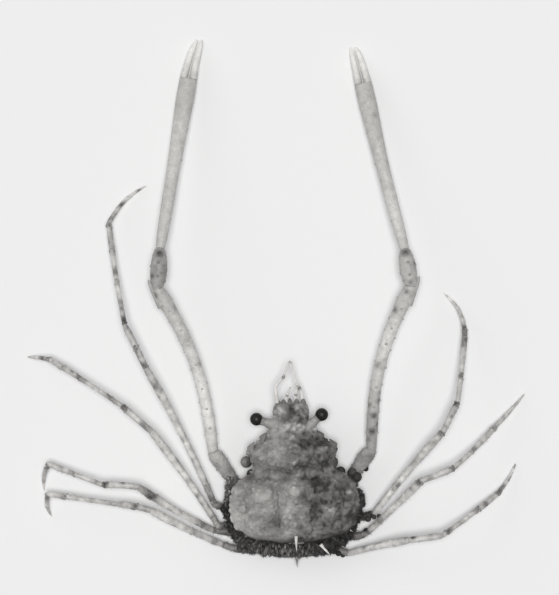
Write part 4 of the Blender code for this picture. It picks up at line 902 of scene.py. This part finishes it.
# dark stains of each leg: piece, share along it, reach in mm, depth of the grey
LEG_SPOTS = {
    ("left", 2): (("base", 0.55, 0.5, 0.16), ("merus", 0.04, 0.5, 0.26), ("merus", 0.13, 0.4, 0.18),
                  ("carpus", 0.03, 0.34, 0.22), ("carpus", 0.49, 0.24, 0.24), ("propodus", 0.03, 0.4, 0.4),
                  ("propodus", 0.43, 0.28, 0.14), ("propodus", 0.74, 0.5, 0.14),
                  ("propodus", 0.98, 0.35, 0.24)),
    ("left", 3): (("base", 0.7, 0.5, 0.18), ("merus", 0.08, 0.5, 0.18), ("carpus", 0.95, 0.42, 0.26),
                  ("propodus", 0.14, 0.4, 0.16), ("propodus", 0.6, 0.6, 0.26),
                  ("propodus", 0.85, 0.4, 0.14), ("dactyl", 0.02, 0.3, 0.26)),
    ("left", 4): (("merus", 0.15, 0.7, 0.24), ("merus", 0.84, 0.8, 0.34), ("carpus", 0.97, 0.36, 0.3),
                  ("propodus", 0.52, 0.34, 0.18), ("dactyl", 0.15, 0.34, 0.2)),
    ("left", 5): (("merus", 0.12, 0.5, 0.16), ("merus", 0.38, 0.4, 0.16), ("carpus", 0.51, 0.4, 0.24),
                  ("propodus", 0.77, 0.4, 0.2),
                  ("dactyl", 0.1, 0.34, 0.26)),
    ("right", 3): (("base", 0.8, 0.6, 0.24), ("merus", 0.33, 0.4, 0.2), ("merus", 1.0, 0.4, 0.28),
                   ("carpus", 1.0, 0.4, 0.28),
                   ("propodus", 0.37, 0.34, 0.22), ("propodus", 0.92, 0.8, 0.3), ("dactyl", 0.03, 0.4, 0.36)),
    ("right", 4): (("merus", 0.2, 0.4, 0.26), ("merus", 0.98, 0.34, 0.24), ("carpus", 0.98, 0.34, 0.28),
                   ("propodus", 0.42, 0.34, 0.24), ("propodus", 0.95, 0.3, 0.2)),
    ("right", 5): (("base", 0.3, 0.5, 0.16), ("propodus", 0.1, 0.36, 0.26), ("propodus", 0.63, 0.34, 0.22),
                   ("propodus", 0.78, 0.3, 0.24),
                   ("dactyl", 0.08, 0.4, 0.3))}
# Leg shell: thin pale lime-hardened chitin, nearly smooth
leg_shell = shell_finish("lime_shell_pale_leg", 0.45, 0.05, 0.09, 0.006, 0.48, SHELL_GREYS)


def clump(start, end, bow, sizes, share, reach, tone, seed):
    """Small lumps of silt and horny warts round a limb at a stain, half sunk in it, within the stain's reach."""
    draw = random.Random(seed)
    length = np.linalg.norm(end - start)
    lumps = []
    for _lump in range(9):
        place = min(max(share + draw.gauss(0.0, 0.6) * reach / length, 0.02), 0.98)
        spot, way = tube_point(start, end, bow, sizes, place, draw.uniform(-40.0, 220.0))
        size = draw.uniform(0.06, 0.13)
        lumps.append(ball(spot - way * size * 0.25, size, tone + draw.uniform(-0.14, 0.06), 6, 8))
    return lumps


for (side, number), pose in LEG_POSE.items():
    places, bows = joints_of(HIPS[number], pose, TIP_HEIGHT)
    planes = limb_planes(places, bows, HIPS[number][2])
    for piece, (name, sizes) in enumerate(LEG_SIZES.items()):
        spots = [(share, 90, reach, depth)
                 for at, share, reach, depth in LEG_SPOTS[(side, number)] if at == name]
        start, end, bow = places[piece], places[piece + 1], bows[piece]
        grains = 0.1 if name == "base" else 0.065
        seed = 31 + number * 5 + piece + (60 if side == "left" else 0)
        forms = [limb_piece(start, end, bow, sizes, planes[piece], LEG_GREYS[name], spots, grains, seed,
                            density=12.0, sides=24, blots=1.4)]
        for row, (share, _angle, reach, depth) in enumerate(spots):
            forms += clump(start, end, bow, sizes, share, reach, np.mean(LEG_GREYS[name]) - depth, row + number)
        add_piece(f"leg_{number}_{name}_{side}", joined(*forms), leg_shell, side,
                  (f"leg{number}_{name}_{side}",))
    joints = [hip_ball(number, places[0], 0.38, 0.25)]
    joints += joint_balls(places, list(LEG_SIZES.values()), (0.52, 0.6, 0.6, 0.56))
    add_piece(f"leg_{number}_joint_skins_{side}", joined(*joints), joint_skin, side)

# Stump
# The second right leg is lost. Its hip piece alone is left, broken off short and healed over, dark with felt.
STUMP_POSE = ((1.25, 88, 14, 0.0),)
STUMP_SIZES = ((0.0, 0.46, 0.44), (0.6, 0.55, 0.52), (1.0, 0.42, 0.38))
places, bows = joints_of(HIPS[2], STUMP_POSE, 0.0)
planes = limb_planes(places, bows, HIPS[2][2])[0]
form = limb_piece(*places, bows[0], STUMP_SIZES, planes, (0.2, 0.24, 0.18), grains=0.12, seed=77)
add_piece("leg_2_stump_right", joined(form, hip_ball(2, places[0], 0.38, 0.2)), leg_shell,
          nodes=("leg2_stump_right",))

# Felt of hairs
# A lumpy dark band of felted hairs and silt lies along both flanks over the hips, under the rim of the shield. Short
# stiff curled hairs stand out of it, of the hips and the hind rim, and single ones stand along arms and legs.
# out, along, height, radius and grey of the band on each side, from behind the arm round to the tail
FELT_BANDS = {
    "left": ((5.31, 1.31, 2.6, 0.22, 0.42), (5.56, 0.55, 2.5, 0.24, 0.36), (5.63, -0.21, 2.4, 0.22, 0.34),
             (5.78, -0.8, 2.3, 0.19, 0.26), (5.94, -1.39, 2.25, 0.24, 0.12), (5.79, -1.99, 2.25, 0.25, 0.12),
             (5.52, -2.6, 2.25, 0.27, 0.12), (5.33, -3.21, 2.25, 0.36, 0.17), (4.93, -3.82, 2.25, 0.48, 0.18),
             (4.35, -4.27, 2.3, 0.56, 0.21), (3.6, -4.6, 2.4, 0.6, 0.23), (2.76, -4.85, 2.5, 0.58, 0.25),
             (1.91, -5.01, 2.6, 0.54, 0.26), (1.07, -5.09, 2.65, 0.53, 0.28), (0.22, -5.17, 2.65, 0.51, 0.29)),
    "right": ((5.44, -0.25, 2.4, 0.26, 0.24), (5.58, -0.94, 2.9, 0.31, 0.16), (5.38, -1.61, 2.85, 0.44, 0.12),
              (5.1, -2.28, 2.8, 0.56, 0.1), (4.73, -2.95, 2.8, 0.6, 0.1), (4.36, -3.61, 2.8, 0.56, 0.1),
              (3.83, -4.19, 2.8, 0.61, 0.1), (3.13, -4.58, 2.8, 0.7, 0.11), (2.35, -4.85, 2.3, 0.73, 0.13),
              (1.58, -5.03, 2.45, 0.66, 0.17), (0.81, -5.12, 2.6, 0.56, 0.21), (0.04, -5.18, 2.65, 0.51, 0.24),
              (-0.56, -5.15, 2.65, 0.48, 0.24))}
# dark lumps of felt on the hips: out (the crab's right is positive), along, height, radius, grey
FELT_LUMPS = ((6.02, -3.81, 1.9, 0.29, 0.1), (3.18, -5.39, 2.0, 0.27, 0.1), (3.56, -5.58, 1.9, 0.26, 0.08),
              (3.93, -5.77, 1.8, 0.2, 0.12), (7.13, -2.54, 2.4, 0.19, 0.18), (6.7, -2.6, 2.3, 0.22, 0.24),
              (6.19, -2.75, 2.2, 0.27, 0.2), (5.73, -1.41, 3.0, 0.32, 0.1), (-6.07, -1.43, 2.3, 0.29, 0.06),
              (-4.8, -4.85, 2.2, 0.3, 0.24))


def hairs(roots, ways, length, radius, seed, tone):
    """Short tapering bristles, each four rings of three points along a line that bends sideways with the square of
    the share of its length."""
    draw = np.random.default_rng(seed)
    count = len(roots)
    across = unit(np.cross(ways, draw.normal(size=(count, 3))))
    other = np.cross(ways, across)
    step, thick = np.array((-0.2, 0.35, 0.75, 1.0)), np.array((1.1, 0.85, 0.55, 0.08))
    long = length * draw.uniform(0.55, 1.2, (count, 1, 1))
    bend = draw.uniform(0.1, 0.7, (count, 1, 1))
    share = step[None, :, None]
    centre = roots[:, None] + ways[:, None] * long * share + across[:, None] * long * bend * share ** 2
    corners = circle(across[:, None], other[:, None], 3)
    rings = centre[:, :, None] + corners[:, None] * radius * thick[None, :, None, None]
    ring, point = np.meshgrid(np.arange(3), np.arange(3), indexing="ij")
    here, beside = ring * 3 + point, ring * 3 + (point + 1) % 3
    quad = np.stack((here, beside, beside + 3, here + 3), axis=-1).reshape(-1, 4)
    tri = np.array(((2, 1, 0), (9, 10, 11)))
    starts = (np.arange(count) * 12)[:, None, None]
    return (rings.reshape(-1, 3), (quad + starts).reshape(-1, 4), (tri + starts).reshape(-1, 3),
            np.broadcast_to(tone, count * 12))


def limb_hairs(start, end, bow, sizes, share, amount, length, radius, seed, tone):
    """Hairs at random shares and angles of a limb piece, leaning from straight out towards the tip."""
    draw = np.random.default_rng(seed)
    step = draw.uniform(*share, amount)
    angle = draw.uniform(-30, 210, amount)[:, None]
    centre, along, across, over = tube_frame(start, end, bow, step)
    half_width, half_height = (half[:, None] for half in columns(np.array(sizes), (1, 2), step))
    way = rim(across, over, half_width, half_height, np.radians(angle))
    lean = unit(unit(way) + along * draw.uniform(0.1, 0.9, (amount, 1)) + draw.normal(0, 0.25, (amount, 3)))
    return hairs(centre + way, lean, length, radius, seed + 1, tone)


def rim_hairs(amount, seed):
    """Hairs in a band along the hind rim of the shield, leaning back and out."""
    draw = np.random.default_rng(seed)
    along = draw.uniform(-4.5, -3.2, amount)
    turn = np.where(draw.random(amount) < 0.5, draw.uniform(-10, 24, amount), draw.uniform(156, 190, amount))
    root, normal = shell_surface(along, turn), shell_normal(along, turn)
    return hairs(root, unit(normal + (0.0, -0.8, -0.2) + draw.normal(0, 0.3, (amount, 3))), 0.22, 0.026,
                 seed + 1, 0.18)


def felt_band(rows, seed, amount):
    """A tube along the curve of its rows, its radius changed by three sine waves along and round it, and hairs at
    random points of it, leaning back and down. Its grey follows its rows, the waves and random specks."""
    run = run_of(np.array(rows)[:, :3])
    table = np.column_stack((run, rows))

    def point(place, turn):
        """A point of the band at a length along it and an angle round it, and the way out there."""
        centre = np.stack(columns(table, (1, 2, 3), place), axis=-1)
        ahead = np.stack(columns(table, (1, 2, 3), place + 0.02), axis=-1)
        way = unit(ahead - centre)
        across = unit(np.cross(way, UP))
        out = np.cos(turn)[..., None] * across + np.sin(turn)[..., None] * np.cross(across, way)
        wave = (0.16 * np.sin(place * 4.1 + seed) * np.sin(turn + place) + 0.14 * np.sin(place * 9.7 + 2 * turn)
                + 0.1 * np.sin(place * 15.0 - 3 * turn + seed))
        return centre + out * (from_table(table, 4, place) * (1.0 + wave))[..., None], out, wave

    place, turn = np.meshgrid(np.linspace(0.0, run[-1] - 0.03, 240),
                              np.linspace(0, 2 * math.pi, 32, endpoint=False), indexing="ij")
    rings, _out, wave = point(place, turn)
    draw = np.random.default_rng(seed)
    at = draw.uniform(0.0, run[-1] - 0.1, amount)
    root, out, _wave = point(at, draw.uniform(-1.2, 4.3, amount))
    lean = unit(out + (0.1, -0.5, -0.1) + draw.normal(0, 0.35, (amount, 3)))
    specks = np.repeat(np.repeat(draw.normal(0.0, 0.28, (120, 16)), 2, axis=0), 2, axis=1)
    grey = from_table(table, 5, place)
    shade = np.repeat(from_table(table, 5, at) * draw.uniform(0.5, 1.5, amount), 12)
    tube = skin(rings, grey + (0.15 + grey) * (0.9 * wave + specks))
    return tube, hairs(root, lean, 0.17, 0.024, seed + 1, shade)


# Hair: horny chitin bristles, dark with silt, dull
felt_hair = shell_finish("chitin_bristle_silted", 0.3, 0.05, 0.05, 0.002, 0.8, SHELL_GREYS)
BAND_HAIRS, RIM_HAIRS = 1300, 700
# hairs of each piece: number and name of the piece, share of it, how many, length, radius, grey
LEG_HAIRS = ((0, "base", (0.0, 0.35), 240, 0.2, 0.026, 0.18), (0, "base", (0.3, 1.0), 70, 0.18, 0.018, 0.4),
             (1, "merus", (0.0, 1.0), 46, 0.2, 0.012, 0.6), (2, "carpus", (0.0, 1.0), 18, 0.2, 0.012, 0.6),
             (3, "propodus", (0.0, 1.0), 36, 0.2, 0.012, 0.6), (4, "dactyl", (0.0, 0.8), 24, 0.16, 0.01, 0.66))
ARM_HAIRS = ((0, "coxa", (0.0, 1.0), 90, 0.18, 0.022, 0.26), (1, "ischium", (0.0, 1.0), 50, 0.18, 0.014, 0.5),
             (2, "merus", (0.0, 1.0), 110, 0.16, 0.011, 0.64), (3, "wrist", (0.0, 1.0), 36, 0.15, 0.011, 0.58),
             (4, "palm", (0.0, 1.0), 50, 0.13, 0.01, 0.68))


def haired(places, bows, sizes, rows, seed):
    """The hairs of all pieces of one limb."""
    return joined(*(limb_hairs(places[at], places[at + 1], bows[at], sizes[name], share, amount, length, radius,
                               seed + at, tone) for at, name, share, amount, length, radius, tone in rows))


for (side, number), pose in LEG_POSE.items():
    form = haired(*joints_of(HIPS[number], pose, TIP_HEIGHT), LEG_SIZES, LEG_HAIRS, 100 * number)
    add_piece(f"leg_{number}_hairs_{side}", form, felt_hair, side)
for side, pose in ARM_POSE.items():
    form = haired(*joints_of(HIPS[1], pose, CLAW_TIP_HEIGHT), ARM_SIZES, ARM_HAIRS, 900)
    add_piece(f"arm_hairs_{side}", form, felt_hair, side)
places, bows = joints_of(HIPS[2], STUMP_POSE, 0.0)
stump_hairs = limb_hairs(*places, bows[0], STUMP_SIZES, (0.0, 1.0), 260, 0.2, 0.026, 55, 0.18)
add_piece("hind_rim_hairs", joined(rim_hairs(RIM_HAIRS, 61), stump_hairs), felt_hair)
for side, sign, seed in (("left", -1, 3), ("right", 1, 8)):
    lumps = [ball((sign * out, along, height), radius, grey, 14, 18)
             for out, along, height, radius, grey in FELT_LUMPS if sign * out > 0]
    form = joined(*felt_band(FELT_BANDS[side], seed, BAND_HAIRS), *lumps)
    add_piece(f"flank_felt_{side}", form, felt_hair, side)

# Floor, light and camera
# A seamless pale sheet under the model, a wide soft box straight overhead that hides the shadows under the limbs, a
# weaker one low on the left, and an even bright room. The camera looks straight down through a long lens.
# half side of the sheet, and its height just under the feet, in metres
FLOOR_REACH, FLOOR_HEIGHT = 0.6, -0.00001
# strength, width in degrees, and tilt about X and Y of each soft box
SOFT_BOXES = ((2.3, 14.0, 0.0, 0.0), (0.36, 40.0, -25.0, -48.0))
ROOM_STRENGTH = 0.27
VIEW_MIDDLE = (0.000306, 0.00046)
VIEW_LONG_SIDE = 0.050575
LENS, SENSOR = 350.0, 36.0
MODEL_MIDDLE_HEIGHT = 0.003

floor_mesh = bpy.data.meshes.new("floor_sheet")
corners = ((-1, -1), (1, -1), (1, 1), (-1, 1))
floor_mesh.from_pydata([(x * FLOOR_REACH, y * FLOOR_REACH, FLOOR_HEIGHT) for x, y in corners], [],
                       [(0, 1, 2, 3)])
floor = in_scene("floor_sheet", floor_mesh)
# Card: uncoated matt paper board, plain and pale
card, _tree, card_shader = new_material("matt_paper_card")
fill(card_shader, Base_Color=linear("e8e8e8"), Roughness=0.9, Specular_IOR_Level=0.1)
floor_mesh.materials.append(card)

room = bpy.data.worlds.new("room")
bpy.context.scene.world = room
room.use_nodes = True
fill(room.node_tree.nodes["Background"], Color=(0.95, 0.95, 0.95, 1.0), Strength=ROOM_STRENGTH)
for number, (strength, width, tilt_x, tilt_y) in enumerate(SOFT_BOXES):
    box = bpy.data.lights.new(f"soft_box_{number}", "SUN")
    box.energy = strength
    box.angle = math.radians(width)
    in_scene(box.name, box).rotation_euler = (math.radians(tilt_x), math.radians(tilt_y), 0.0)

lens = bpy.data.cameras.new("camera")
lens.lens, lens.sensor_width = LENS, SENSOR
camera = in_scene("camera", lens)
camera.location = (*VIEW_MIDDLE, MODEL_MIDDLE_HEIGHT + LENS * VIEW_LONG_SIDE / SENSOR)
bpy.context.scene.camera = camera
bpy.context.scene.view_settings.view_transform = "Standard"
